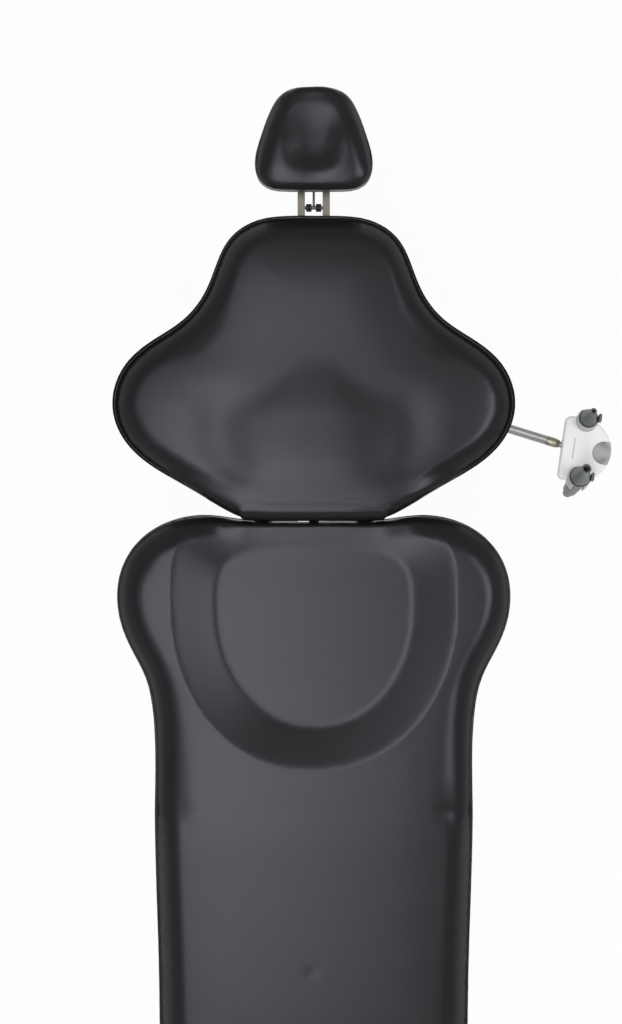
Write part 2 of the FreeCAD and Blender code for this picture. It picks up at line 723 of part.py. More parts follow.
shell_knee = d.knee_y - 25
shell_foot = d.foot_y - 20
shell_toe = d.shell_low - 75
shell_side = [
    (260, d.shell_low),
    (260, d.seat_low),
    (d.knee_y + 14, d.seat_low),
    (d.knee_y - 14, d.seat_low - under_drop(d.knee_y - 14)),
    (shell_foot, d.seat_low - under_drop(shell_foot)),
    (shell_foot, shell_toe),
    (shell_knee, d.shell_low),
]
hollow_side = [
    (260, d.shell_low + d.shell_wall),
    (260, d.seat_top),
    (shell_foot, d.seat_top),
    (shell_foot, shell_toe + d.shell_wall + 0.5),
    (shell_knee, d.shell_low + d.shell_wall),
]
shell_outer = slab(inset(seat_outline, d.shell_inset.value), 300, 560).common(side_prism(shell_side))
shell_outer = shell_outer.makeFillet(14, rim_edges(shell_outer, -1))
shell_inner = slab(inset(seat_outline, (d.shell_inset + d.shell_wall).value), 300, 620)
shell_inner = shell_inner.common(side_prism(hollow_side))
shell_inner = shell_inner.makeFillet(11, rim_edges(shell_inner, -1))
column_gap = block((-d.deck_half - 6, d.deck_half + 6), (-d.deck_half - 6, d.deck_half + 6), (430, 460))
rear_gap = block((-d.rail_in - 28, d.rail_in + 28), (100, 260), (d.shell_low - 5, d.seat_low + 5))
keep("seat_shell", cut(shaped(shell_outer.cut(shell_inner)), column_gap, rear_gap))

# Recline drive rod with its slotted yoke

lean = math.radians(d.lever_lean.value)
pin_y = d.hinge_y - d.lever_arm * math.sin(lean)
pin_z = d.hinge_z - d.lever_arm * math.cos(lean)
slot_half = d.lever_pin_radius + d.yoke_play
fork = [block(side, (pin_y - slot_half - 8, pin_y + slot_half + 8), (456, 512)) for side in ((10, 20), (-20, -10))]
bridge = block((-20, 20), (pin_y - slot_half - 20, pin_y - slot_half - 8), (d.drive_z - 14, d.drive_z + 14))
slots = [block(side, (pin_y - slot_half, pin_y + slot_half), (462, 504)) for side in ((9, 21), (-21, -9))]
drive_rod = rod("y", (0, d.drive_z), (-60, pin_y - slot_half - 20), d.drive_rod_radius)
keep("recline_rod", cut(fuse(*fork, bridge, drive_rod), *slots))

# Backrest: shaft, frame plate with ears, lever, cushion and shell

hinge = (d.hinge_y, d.hinge_z)
keep("hinge_shaft", rod("x", hinge, (-d.rail_in - 1, d.rail_in + 1), d.hinge_radius))

frame_plate = round_block((-d.frame_half, d.frame_half), (d.back_shell_start - 10, 640), (d.frame_low, d.back_low), 8)
frame_ears = []
for side in ((40, 60), (-60, -40)):
    frame_ears.append(rod("x", hinge, side, 16))
    frame_ears.append(block(side, (d.hinge_y, d.hinge_y + 70), (d.frame_low, d.hinge_z - 6)))
shaft_bore = rod("x", hinge, (-100, 100), d.hinge_radius)
frame_taps = [rod("z", (sx * 70, y), (d.frame_low - 1, d.back_low + 1), 2) for sx in (-1, 1) for y in (320, 615)]
keep("backrest_frame", cut(fuse(frame_plate, *frame_ears), shaft_bore, *frame_taps))

lever_sides = (-d.lever_half, d.lever_half)
lever_beam = block(lever_sides, (-11, 11), (-d.lever_arm, 0))
lever_body = fuse(lever_beam, rod("x", (0, 0), lever_sides, 17), rod("x", (0, -d.lever_arm), lever_sides, 13))
lever_bores = [rod("x", (0, 0), (-20, 20), d.hinge_radius), rod("x", (0, -d.lever_arm), (-20, 20), d.lever_pin_radius)]
lever_turn = Placement(Vector(0, d.hinge_y.value, d.hinge_z.value), Rotation(Vector(1, 0, 0), -d.lever_lean.value))
keep("recline_lever", cut(lever_body, *lever_bores), lever_turn)
keep("lever_pin", rod("x", (pin_y, pin_z), (-19.5, 19.5), d.lever_pin_radius))

back_solid = slab(back_outline, d.back_low, d.back_top)
back_solid = back_solid.makeFillet(d.back_round.value, rim_edges(back_solid, 1))
back_solid = back_solid.makeFillet(d.back_round.value, rim_edges(back_solid, -1))
pocket = [
    rod("x", hinge, (-d.rail_in - 2, d.rail_in + 2), 21),
    block((-d.rail_in - 2, d.rail_in + 2), (d.hinge_y, d.hinge_y + 76), (d.back_low - 5, d.hinge_z + 3)),
    block((-d.rail_in - 2, d.rail_in + 2), (d.hinge_y - 40, d.hinge_y), (d.back_low - 5, d.hinge_z)),
]
keep("backrest_cushion", cut(shaped(back_solid), *pocket))

shell_rim = d.back_shell_inset
back_shell = slab(inset(back_outline, shell_rim.value), d.back_shell_low, d.back_low)
back_shell = back_shell.makeFillet(12, rim_edges(back_shell, -1))
back_hollow = slab(inset(back_outline, (shell_rim + d.shell_wall).value), d.back_shell_low + d.shell_wall, 560)
back_hollow = back_hollow.makeFillet(9, rim_edges(back_hollow, -1))
open_end = block((-350, 350), (100, d.back_shell_start), (d.back_shell_low - 5, d.back_low + 5))
post_gap = rod("z", (0, d.pivot_y), (d.back_shell_low - 5, d.back_shell_low + 8), 24)
bar_gap = block((-d.bar_x - 12, d.bar_x + 12), (640, 700), (d.bar_low - 1, d.bar_top + 3))
shell_taps = [rod("z", (sx * 70, y), (d.back_shell_low - 5, d.back_shell_low + 10), 2.2)
              for sx in (-1, 1) for y in (320, 615)]
keep("backrest_shell", cut(shaped(back_shell.cut(back_hollow)), open_end, post_gap, bar_gap, *shell_taps))
shell_screws = [fuse(rod("z", (sx * 70, y), (d.back_shell_low, d.back_low), 1.9),
                     rod("z", (sx * 70, y), (d.back_shell_low - 2, d.back_shell_low), 4.5))
                for sx in (-1, 1) for y in (320, 615)]
keep("shell_screws", group(*shell_screws))

guide = round_block((-44, 44), (560, 640), (d.back_shell_low + d.shell_wall, d.frame_low), 6)
bar_slots = [block((sx * d.bar_x - d.bar_half - 0.3, sx * d.bar_x + d.bar_half + 0.3), (550, 650),
                   (d.bar_low - 0.3, d.bar_top + 0.3)) for sx in (-1, 1)]
keep("headrest_guide", cut(guide, *bar_slots))

keep("arm_pivot_post", fuse(rod("z", (0, d.pivot_y), (d.hub_low - 4, d.frame_low), d.post_radius),
                            rod("z", (0, d.pivot_y), (d.frame_low - 10, d.frame_low), 40)))
keep("pivot_cap", rounded(rod("z", (0, d.pivot_y), (d.hub_low - 12, d.hub_low - 4), 25), 4, at_height(d.hub_low - 12)))

# Headrest: sliding bars with a cross shaft, knuckle, tilting plate and cushion

bars = [round_block((sx * d.bar_x - d.bar_half, sx * d.bar_x + d.bar_half), (d.bar_start, d.bar_end),
                    (d.bar_low, d.bar_top), 2) for sx in (-1, 1)]
keep("headrest_bars", group(*bars))
bar_mid = (d.bar_low + d.bar_top) / 2
inner_x = d.bar_x - d.bar_half
keep("cross_shaft", fuse(rod("x", (d.shaft_y, bar_mid), (-inner_x, inner_x), 3),
                         rod("y", (0, bar_mid), (d.shaft_y, d.bar_end), 2)))
collars = [cut(rod("x", (d.shaft_y, bar_mid), side, 6.5), rod("x", (d.shaft_y, bar_mid), (-30, 30), 3))
           for side in ((3.5, 12.5), (-12.5, -3.5))]
keep("shaft_collars", group(*collars))
tilt = (d.tilt_y, d.tilt_z)
knuckle = fuse(rod("x", tilt, (-34, 34), 11), block((-34, 34), (d.bar_end, d.tilt_y), (d.tilt_z - 8, d.tilt_z + 5)))
keep("headrest_knuckle", cut(knuckle, rod("x", tilt, (-40, 40), d.tilt_radius + d.hinge_play)))

head_plate = round_block((-58, 58), (d.tilt_y - 14, d.head_end - 25), (d.head_low - 6, d.head_low), 12)
head_ears = []
for side in ((35, 43), (-43, -35)):
    head_ears.append(rod("x", tilt, side, 11))
    head_ears.append(block(side, (d.tilt_y - 11, d.tilt_y + 11), (d.tilt_z, d.head_low - 6)))
keep("headrest_plate", cut(fuse(head_plate, *head_ears), rod("x", tilt, (-50, 50), d.tilt_radius)))
keep("tilt_pin", rod("x", tilt, (-44, 58), d.tilt_radius))

head_solid = slab(head_outline, d.head_low, d.head_top)
head_solid = head_solid.makeFillet(d.head_round.value, rim_edges(head_solid, 1))
head_solid = head_solid.makeFillet(d.head_round.value, rim_edges(head_solid, -1))
dish = doc.addObject("Part::Ellipsoid", "dish")
bind(dish, "Radius1", d.dish_depth * 4)
dish.Radius2 = 88
dish.Radius3 = 112
bind(dish, "Placement.Base.y", d.dish_y)
bind(dish, "Placement.Base.z", d.head_top + d.dish_depth * 3)
keep("headrest_cushion", cut(shaped(head_solid), dish))

lock_hub = rod("x", tilt, (44, 56), 12)
lock_grip = block((45, 55), (d.tilt_y, d.tilt_y + 62), (d.tilt_z - 6, d.tilt_z + 4))
lock_end = rod("x", (d.tilt_y + 62, d.tilt_z - 1), (45, 55), 5)
keep("headrest_lever", cut(fuse(lock_hub, lock_grip, lock_end), rod("x", tilt, (40, 60), d.tilt_radius + d.hinge_play)))

# Instrument arm. Its pieces are drawn along +X from the pivot, then turned to the rest angle.

arm_place = Placement(Vector(0, d.pivot_y.value, 0), Rotation(Vector(0, 0, 1), d.arm_angle.value))
hub = fuse(rod("z", (0, 0), (d.hub_low, d.hub_top), 26),
           rod("x", (0, d.arm_z), (15, d.sleeve_end), d.sleeve_radius))
post_bore = rod("z", (0, 0), (d.hub_low - 1, d.hub_top + 1), d.post_radius + d.hinge_play)
sleeve_bore = rod("x", (0, d.arm_z), (28, d.sleeve_end + 1), d.tube_radius + d.slide_play)
keep("arm_hub", cut(hub, post_bore, sleeve_bore), arm_place)

tube_bore = rod("x", (0, d.arm_z), (d.tube_start - 1, d.tube_end + 1), d.neck_radius + 0.6)
keep("arm_tube", cut(rod("x", (0, d.arm_z), (d.tube_start, d.tube_end), d.tube_radius), tube_bore), arm_place)
collar_body = turned([(d.neck_radius + d.slide_play, 0), (d.tube_radius + 0.3, 0), (d.tube_radius + 0.3, 15),
                      (d.tube_radius - 1.4, 22), (d.neck_radius + d.slide_play, 22)])
along_arm = Placement(Vector(d.tube_end.value, 0, d.arm_z.value), Rotation(Vector(0, 1, 0), 90))
keep("tube_collar", collar_body, arm_place * along_arm)

swivel = (d.swivel_reach, 0)
neck = fuse(rod("x", (0, d.arm_z), (300, d.swivel_reach), d.neck_radius),
            rod("z", swivel, (d.arm_z - 8, d.holder_low - 9), 11),
            rod("z", swivel, (d.holder_low - 9, d.holder_low - 0.4), 7))
keep("arm_neck", neck, arm_place)

# Holder plate, drawn about its swivel with the front towards +Y, then turned outwards.

reach = Vector(d.swivel_reach.value, 0, 0)
swivel_point = arm_place.multVec(reach)
holder_place = Placement(swivel_point, Rotation(Vector(0, 0, 1), d.holder_angle.value - 90))
arc_y = d.holder_front - d.holder_half


def holder_blank(offset, low, high):
    """A plate with a straight rear edge and a round front, smaller by an offset."""
    half = (d.holder_half - offset).value
    rear = (offset - d.holder_back).value
    middle = arc_y.value
    corner = 10 - size(offset).value / 2
    bend = corner * math.sqrt(0.5)

    def at(x, y):
        return Vector(x, y, size(low).value)

    edges = [Part.LineSegment(at(corner - half, rear), at(half - corner, rear)),
             Part.Arc(at(half, middle), at(0, middle + half), at(-half, middle))]
    for side in (1, -1):
        edges.append(Part.Arc(at(side * (half - corner), rear),
                              at(side * (half - corner + bend), rear + corner - bend),
                              at(side * half, rear + corner)))
        edges.append(Part.LineSegment(at(side * half, rear + corner), at(side * half, middle)))
    outline = Part.Wire(Part.__sortEdges__([edge.toShape() for edge in edges]))
    return shaped(Part.Face(outline).extrude(Vector(0, 0, (size(high) - low).value)))


def cup_place(side):
    """Placement of a cup or a handpiece in the holder; both lean the same way."""
    centre = Vector(side * d.cup_x.value, 0, d.holder_top.value)
    return Placement(centre, Rotation(Vector(0, 1, 0), -d.cup_lean.value))


def cup_tool(side, radius):
    tool = rod("z", (0, 0), (-60, 60), radius)
    for axis in "xyz":
        tool.setExpression(f"Placement.Base.{axis}", None)
    tool.Placement = cup_place(side) * Placement(Vector(0, 0, -60), Rotation())
    return tool


HVE_OUT, HVE_IN = 19, 15.2
EJECTOR_OUT, EJECTOR_IN = 18, 14.2
seats = [cup_tool(1, HVE_OUT), cup_tool(-1, EJECTOR_OUT)]
button_y = d.holder_front - d.button_radius + 7
button_pocket = fuse(rod("z", (0, button_y), (d.holder_top - 8, d.holder_top + 5), d.button_radius + 0.4),
                     block((-d.button_radius - 0.4, d.button_radius + 0.4), (button_y, 60),
                           (d.holder_top - 8, d.holder_top + 5)))
plate_rim = rounded(holder_blank(0, d.holder_low, d.holder_top), 4, at_height(d.holder_top))
plate_room = holder_blank(d.holder_wall, d.holder_low - 1, d.holder_top - 8 - d.holder_wall)
keep("holder_plate", cut(plate_rim, plate_room, button_pocket, *seats), holder_place)

under_seats = [cup_tool(1, HVE_OUT), cup_tool(-1, EJECTOR_OUT)]
under = holder_blank(1, d.holder_low - 8.7, d.holder_low)
swivel_bore = rod("z", (0, 0), (d.holder_low - 10, d.holder_low + 1), 7 + d.hinge_play)
swing_room = cut(block((-70, 70), (-40, -12), (d.holder_low - 10, d.holder_low + 1)),
                 rod("z", (0, 0), (d.holder_low - 12, d.holder_low + 2), d.swivel_reach - d.collar_end - 2.5))
keep("holder_underside", cut(under, swivel_bore, swing_room, *under_seats), holder_place)

keep("thumb_button", common(fuse(rod("z", (0, button_y), (d.holder_top - 6, d.holder_top + 1.2), d.button_radius),
                                 block((-d.button_radius, d.button_radius), (button_y, 60),
                                       (d.holder_top - 6, d.holder_top + 1.2))),
                            rod("z", (0, arc_y), (480, 540), d.holder_half)), holder_place)


def cup(side, outside, inside):
    """A ring open towards its free side, on its own leaning axis."""
    ring = cut(rod("z", (0, 0), (d.cup_low, d.cup_high), outside), rod("z", (0, 0), (d.cup_low - 1, d.cup_high + 1), inside))
    mouth = block((0, 30), (-9, 9), (d.cup_low - 1, d.cup_high + 1))
    opened = cut(ring, mouth)
    opened.Placement = cup_place(side) * Placement(Vector(), Rotation(Vector(0, 0, 1), 0 if side > 0 else 180))
    return opened


keep("instrument_cups", group(cup(1, HVE_OUT, HVE_IN), cup(-1, EJECTOR_OUT, EJECTOR_IN)), holder_place)

# Suction handpieces, turned about their own axes, each with a nozzle and a sliding valve tab

hve_place = holder_place * cup_place(1)
ejector_place = holder_place * cup_place(-1)
rest = d.cup_high + 0.3
hve_body = turned([(0, -104), (7, -104), (8, -103), (8, -80), (12, -76), (13.6, -40), (13.8, rest), (17, rest),
                   (17, rest + 5), (0, rest + 5)])
keep("hve_handpiece", hve_body, hve_place)
hve_tip = turned([(0, rest + 5), (16, rest + 5), (15, rest + 16), (8.4, rest + 46), (8, rest + 62), (7, rest + 63),
                  (d.hve_bore, rest + 63), (d.hve_bore, rest + 33), (0, rest + 33)])
keep("hve_nozzle", hve_tip, hve_place)
ejector_body = turned([(0, -98), (5.5, -98), (6.5, -97), (6.5, -76), (10.5, -72), (12.4, -40), (12.8, rest),
                       (15.5, rest), (15.5, rest + 4), (0, rest + 4)])
keep("ejector_handpiece", ejector_body, ejector_place)
ejector_tip = turned([(0, rest + 4), (14.3, rest + 4), (13.4, rest + 12), (6, rest + 38), (5.4, rest + 48),
                      (4.6, rest + 49), (d.ejector_bore, rest + 49), (d.ejector_bore, rest + 24), (0, rest + 24)])
keep("ejector_nozzle", ejector_tip, ejector_place)


def slider(radius, low):
    """A ribbed tab that rides close outside a nozzle's base ring."""
    body = block((radius + 0.4, radius + 4), (-6, 6), (low, low + 14))
    ribs = [block((radius + 4, radius + 5.2), (-6, 6), (low + 1 + 4 * i, low + 3 + 4 * i)) for i in range(3)]
    return fuse(body, *ribs)


facing_rear = Placement(Vector(), Rotation(Vector(0, 0, 1), 90))
keep("hve_slider", slider(16, rest + 7), hve_place * facing_rear)
keep("ejector_slider", slider(14.3, rest + 6), ejector_place * facing_rear)

doc.recompute()

os.makedirs("parts", exist_ok=True)
for item in doc.Objects:
    if "Invalid" in item.State or "Error" in item.State:
        raise RuntimeError(f"{item.Name} ({item.Label}) did not compute: {item.State}")
for node, solid in sub_parts.items():
    if solid.Shape.isNull() or not solid.Shape.isValid():
        raise RuntimeError(f"{node} has no valid shape")
    solid.Shape.exportStep(f"parts/{node}.step")
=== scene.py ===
import json
import math

import bmesh
import bpy
import numpy as np
from bpy.props import FloatProperty, FloatVectorProperty, PointerProperty
from mathutils import Matrix, Vector
from mathutils.bvhtree import BVHTree
from mathutils.kdtree import KDTree


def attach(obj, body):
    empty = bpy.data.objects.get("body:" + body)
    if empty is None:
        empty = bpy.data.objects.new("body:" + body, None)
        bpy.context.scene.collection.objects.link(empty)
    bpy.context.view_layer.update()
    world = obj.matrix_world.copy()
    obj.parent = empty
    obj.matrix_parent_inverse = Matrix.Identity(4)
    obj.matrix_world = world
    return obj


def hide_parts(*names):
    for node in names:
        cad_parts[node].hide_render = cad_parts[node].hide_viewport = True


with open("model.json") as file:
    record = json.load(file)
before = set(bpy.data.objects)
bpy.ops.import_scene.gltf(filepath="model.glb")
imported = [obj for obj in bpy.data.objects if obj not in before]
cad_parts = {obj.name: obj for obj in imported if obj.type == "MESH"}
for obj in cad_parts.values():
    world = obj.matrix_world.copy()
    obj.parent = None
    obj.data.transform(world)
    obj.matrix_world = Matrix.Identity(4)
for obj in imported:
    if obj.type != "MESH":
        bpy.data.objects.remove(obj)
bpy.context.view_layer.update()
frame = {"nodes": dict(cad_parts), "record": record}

bl_info = {
    "name": "Dental chair unit",
    "version": (1, 0, 0),
    "blender": (4, 5, 0),
    "location": "View3D > Sidebar > Chair",
    "description": "Dresses the frame of a dental chair unit with cushions, finishes and light",
    "category": "Object",
}


class Term:
    """A shader socket that takes part in Python arithmetic."""

    def __init__(self, net, socket):
        self.net = net
        self.socket = socket

    def math(self, operation, *others):
        return self.net.node("ShaderNodeMath", {"operation": operation}, self, *others)

    def __add__(self, other):
        return self.math("ADD", other)

    def __sub__(self, other):
        return self.math("SUBTRACT", other)

    def __mul__(self, other):
        return self.math("MULTIPLY", other)

    def __radd__(self, other):
        return self + other

    def __rmul__(self, other):
        return self * other

    def ramp(self, low, high):
        """0 below low, 1 above high and a smooth step between them."""
        settings = {"interpolation_type": "SMOOTHSTEP"}
        return self.net.node("ShaderNodeMapRange", settings, self, low, high, 0.0, 1.0)

    def part(self, name):
        """Another output of the same node."""
        return Term(self.net, self.socket.node.outputs[name])


class Net:
    """The node tree of one material."""

    def __init__(self, name):
        self.material = bpy.data.materials.new(name)
        self.material.use_nodes = True
        self.tree = self.material.node_tree
        self.surface = self.tree.nodes["Principled BSDF"]

    def feed(self, socket, value):
        if isinstance(value, Term):
            self.tree.links.new(value.socket, socket)
        elif value is not None:
            socket.default_value = value

    def node(self, kind, settings, *inputs, **named):
        """A node of any kind: its settings, then its inputs in order or by name."""
        made = self.tree.nodes.new(kind)
        for key, value in settings.items():
            setattr(made, key, value)
        for socket, value in zip(made.inputs, inputs):
            self.feed(socket, value)
        for key, value in named.items():
            self.feed(made.inputs[key], value)
        shown = [socket for socket in made.outputs if socket.enabled]
        return Term(self, shown[0])

    def place(self, stretch=(1, 1, 1), turn=0.0):
        """Coordinates of the object in metres, turned about Z and stretched."""
        here = self.node("ShaderNodeTexCoord", {}).part("Object")
        if stretch == (1, 1, 1) and turn == 0:
            return here
        settings = {"vector_type": "VECTOR"}
        return self.node("ShaderNodeMapping", settings, here, None, (0, 0, turn), stretch)

    def noise(self, place, scale, detail=2.0, roughness=0.5):
        """A cloudy pattern with values about 0.5."""
        return self.node("ShaderNodeTexNoise", {}, Vector=place, Scale=scale,
                         Detail=detail, Roughness=roughness)

    def mix(self, factor, first, second):
        """A colour between two colours."""
        made = self.tree.nodes.new("ShaderNodeMix")
        made.data_type = "RGBA"
        for index, value in ((0, factor), (6, first), (7, second)):
            if isinstance(value, tuple):
                value = (*value, 1.0)
            self.feed(made.inputs[index], value)
        return Term(self, made.outputs[2])

    def bump(self, height, strength, depth):
        return self.node("ShaderNodeBump", {}, Strength=strength, Distance=depth, Height=height)

    def finish(self, **inputs):
        """Set the surface's inputs; names use underscores for spaces."""
        for key, value in inputs.items():
            if isinstance(value, tuple) and len(value) == 3:
                value = (*value, 1.0)
            self.feed(self.surface.inputs[key.replace("_", " ")], value)
        return self.material


def grey(level, warm=0.0):
    """A grey colour, slightly warm or cool."""
    return (level * (1 + warm), level, level * (1 - warm))


def upholstery(name, level):
    """Black coated fabric: fine pebbled grain, soft sheen, a little unevenness from use."""
    net = Net(name)
    here = net.place()
    pebble = net.node("ShaderNodeTexVoronoi", {"feature": "SMOOTH_F1"}, Vector=here,
                      Scale=620.0, Smoothness=0.6)
    fine = net.noise(here, 2400.0, 3.0)
    broad = net.noise(here, 5.0, 3.0)
    grain = pebble * 0.7 + fine * 0.3
    colour = net.mix(broad.ramp(0.3, 0.7), grey(level * 0.92, -0.02),
                     grey(level * 1.08, -0.03))
    colour = net.mix(grain.ramp(0.1, 0.6) * 0.25, colour, grey(level * 0.6))
    sheen = 0.25 + broad * 0.05 + grain * 0.05
    return net.finish(Base_Color=colour, Roughness=sheen, Specular_IOR_Level=0.38,
                      Specular_Tint=(0.88, 0.91, 1.0), Normal=net.bump(grain, 0.22, 0.0004))


def plastic(name, colour, roughness, texture=0.05):
    """Moulded plastic with a faint orange-peel skin and handling marks."""
    net = Net(name)
    here = net.place()
    skin = net.noise(here, 900.0, 2.0)
    marks = net.noise(here, 14.0, 5.0, 0.65)
    darker = tuple(c * 0.93 for c in colour)
    shade = net.mix(marks.ramp(0.45, 0.75), colour, darker)
    return net.finish(Base_Color=shade, Roughness=roughness + (marks - 0.5) * 0.14,
                      Specular_IOR_Level=0.45, Normal=net.bump(skin, texture, 0.0003))


def brushed(name, colour, roughness, stretch, turn=0.0):
    """Drawn metal with fine lines along one direction."""
    net = Net(name)
    lines = net.noise(net.place(stretch, turn), 90.0, 4.0, 0.6)
    cloud = net.noise(net.place(), 22.0, 3.0)
    bright = tuple(min(c * 1.08, 1.0) for c in colour)
    dark = tuple(c * 0.86 for c in colour)
    shade = net.mix(lines.ramp(0.3, 0.7), dark, bright)
    return net.finish(Base_Color=shade, Metallic=1.0,
                      Roughness=roughness + lines * 0.14 + (cloud - 0.5) * 0.08,
                      Normal=net.bump(lines, 0.06, 0.0003))


def painted(name, colour, roughness):
    """Powder-coated steel: fine leather-like texture under a thin gloss."""
    net = Net(name)
    here = net.place()
    texture = net.noise(here, 700.0, 3.0)
    wear = net.noise(here, 30.0, 6.0, 0.7)
    shade = net.mix(wear.ramp(0.5, 0.8), colour, tuple(c * 1.3 for c in colour))
    return net.finish(Base_Color=shade, Roughness=roughness + (texture - 0.5) * 0.2,
                      Coat_Weight=wear * 0.2, Normal=net.bump(texture, 0.18, 0.0003))


def machined(name, colour, roughness):
    """Turned or milled steel with faint rings and handling stains."""
    net = Net(name)
    here = net.place()
    rings = net.node("ShaderNodeTexWave", {"wave_type": "RINGS", "rings_direction": "SPHERICAL"},
                     Vector=here, Scale=420.0, Distortion=2.0)
    stain = net.noise(here, 45.0, 4.0)
    shade = net.mix(stain.ramp(0.4, 0.7), colour, tuple(c * 0.82 for c in colour))
    return net.finish(Base_Color=shade, Metallic=1.0,
                      Roughness=roughness + rings * 0.08 + (stain - 0.5) * 0.1,
                      Normal=net.bump(rings, 0.04, 0.0002))


ARM_TURN = math.radians(17.2)
MADE = {}


def finishes():
    """Every finish by the record's slot name, made once."""
    recipes = {
        "black_upholstery": (upholstery, 0.009),
        "white_plastic": (plastic, (0.82, 0.82, 0.81), 0.32),
        "light_grey_plastic": (plastic, (0.52, 0.53, 0.54), 0.4),
        "button_grey": (plastic, (0.36, 0.36, 0.37), 0.45),
        "dark_grey_plastic": (plastic, (0.12, 0.13, 0.136), 0.42, 0.08),
        "valve_grey": (plastic, (0.12, 0.12, 0.125), 0.45),
        "dark_collar": (plastic, (0.012, 0.012, 0.012), 0.5),
        "black_plastic": (plastic, (0.02, 0.02, 0.021), 0.5, 0.15),
        "glide_polymer": (plastic, (0.7, 0.69, 0.62), 0.5),
        "satin_tube": (brushed, (0.36, 0.37, 0.365), 0.4, (1, 40, 40), ARM_TURN),
        "collar_nickel": (brushed, (0.36, 0.325, 0.265), 0.36, (40, 1, 1), ARM_TURN),
        "bar_nickel": (brushed, (0.27, 0.25, 0.22), 0.4, (40, 1, 40)),
        "column_aluminium": (brushed, (0.66, 0.66, 0.67), 0.34, (30, 30, 1)),
        "frame_paint": (painted, (0.045, 0.047, 0.05), 0.45),
        "base_paint": (painted, (0.07, 0.07, 0.073), 0.5),
        "screw_steel": (machined, (0.45, 0.45, 0.46), 0.3),
        "bush_bronze": (machined, (0.5, 0.32, 0.13), 0.35),
        "actuator_metal": (machined, (0.3, 0.31, 0.33), 0.45),
    }
    if not MADE:
        for slot, (make, *values) in recipes.items():
            MADE[slot] = make(slot + "_finish", *values)
    return MADE


WELD_REACH = 0.00002
BEVEL_SEGMENTS = 2
BEVEL_ANGLE = math.radians(40)


def dress(nodes, bevel=0.0):
    """Give CAD nodes their finish, and soften their sharp edges where a width is given."""
    slots = {item["node"]: item["material_slot"] for item in frame["record"]["subparts"]}
    for name in nodes:
        piece = frame["nodes"].get(name)
        if piece is None:
            raise RuntimeError(f"the frame has no node {name}")
        piece.data.materials.clear()
        piece.data.materials.append(finishes()[slots[name]])
        if bevel:
            weld = piece.modifiers.new("Weld", "WELD")
            weld.merge_threshold = WELD_REACH
            round_edges = piece.modifiers.new("Bevel", "BEVEL")
            round_edges.width = bevel
            round_edges.segments = BEVEL_SEGMENTS
            round_edges.limit_method = "ANGLE"
            round_edges.angle_limit = BEVEL_ANGLE
            round_edges.harden_normals = True


def add_piece(name, mesh, slot, body):
    """A new visual piece that rides on a body of the frame."""
    piece = bpy.data.objects.new(name, mesh)
    bpy.context.scene.collection.objects.link(piece)
    mesh.materials.clear()
    mesh.materials.append(finishes()[slot])
    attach(piece, body)
    return piece


def step(low, high, value):
    """A smooth step from 0 at low to 1 at high."""
    t = np.clip((value - low) / (high - low), 0.0, 1.0)
    return t * t * (3 - 2 * t)


def hump(x, y, at, spread):
    """A soft round rise of height 1."""
    return np.exp(-((x - at[0]) / spread[0]) ** 2 - ((y - at[1]) / spread[1]) ** 2)


def coordinates(mesh):
    """The points of a mesh, one in each row."""
    flat = np.empty(len(mesh.vertices) * 3)
    mesh.vertices.foreach_get("co", flat)
    return flat.reshape(-1, 3)


def normals(mesh):
    """The directions in which the points of a mesh face, one in each row."""
    flat = np.empty(len(mesh.vertices) * 3, dtype=np.float32)
    mesh.vertex_normals.foreach_get("vector", flat)
    return flat.reshape(-1, 3).astype(float)


def move(mesh, points):
    """Give a mesh new places for its points."""
    mesh.vertices.foreach_set("co", points.ravel())
    mesh.update()


def applied(piece):
    """Bake a piece's modifiers into its mesh."""
    view = bpy.context.evaluated_depsgraph_get()
    mesh = bpy.data.meshes.new_from_object(piece.evaluated_get(view))
    piece.modifiers.clear()
    old = piece.data
    piece.data = mesh
    bpy.data.meshes.remove(old)
    return mesh


TOP_FACING = 0.75


def soften(piece, rounds):
    """Round off the creases of the upper side."""
    up = normals(piece.data)[:, 2]
    top = piece.vertex_groups.new(name="top")
    for index in np.flatnonzero(up > TOP_FACING).tolist():
        top.add([index], 1.0, "REPLACE")
    smooth = piece.modifiers.new("Smooth", "SMOOTH")
    smooth.factor = 0.5
    smooth.iterations = rounds
    smooth.vertex_group = "top"
    applied(piece)
    piece.vertex_groups.clear()


def search_tree(mesh):
    """A tree that finds the nearest place on a mesh."""
    faces = [tuple(face.vertices) for face in mesh.polygons]
    return BVHTree.FromPolygons(coordinates(mesh).tolist(), faces)


def even_copy(node, name, voxel):
    """A CAD cushion as an evenly meshed new object, and a search tree of its solid's skin."""
    source = frame["nodes"][node]
    mesh = source.data.copy()
    mesh.transform(source.matrix_world)
    mesh.materials.clear()
    skin = search_tree(mesh)
    piece = bpy.data.objects.new(name, mesh)
    bpy.context.scene.collection.objects.link(piece)
    weld = piece.modifiers.new("Weld", "WELD")
    weld.merge_threshold = WELD_REACH
    remesh = piece.modifiers.new("Remesh", "REMESH")
    remesh.mode = "VOXEL"
    remesh.voxel_size = voxel
    applied(piece)
    return piece, skin


def edge_ends(mesh):
    """The two point numbers of every edge."""
    flat = np.empty(len(mesh.edges) * 2, dtype=np.int32)
    mesh.edges.foreach_get("vertices", flat)
    return flat[0::2], flat[1::2]


CLOTH_FRAMES = 20
CLOTH_QUALITY = 4
START_INSET = 0.6
DEEPEST_DENT = 0.0005
SWELL_EVEN = 16


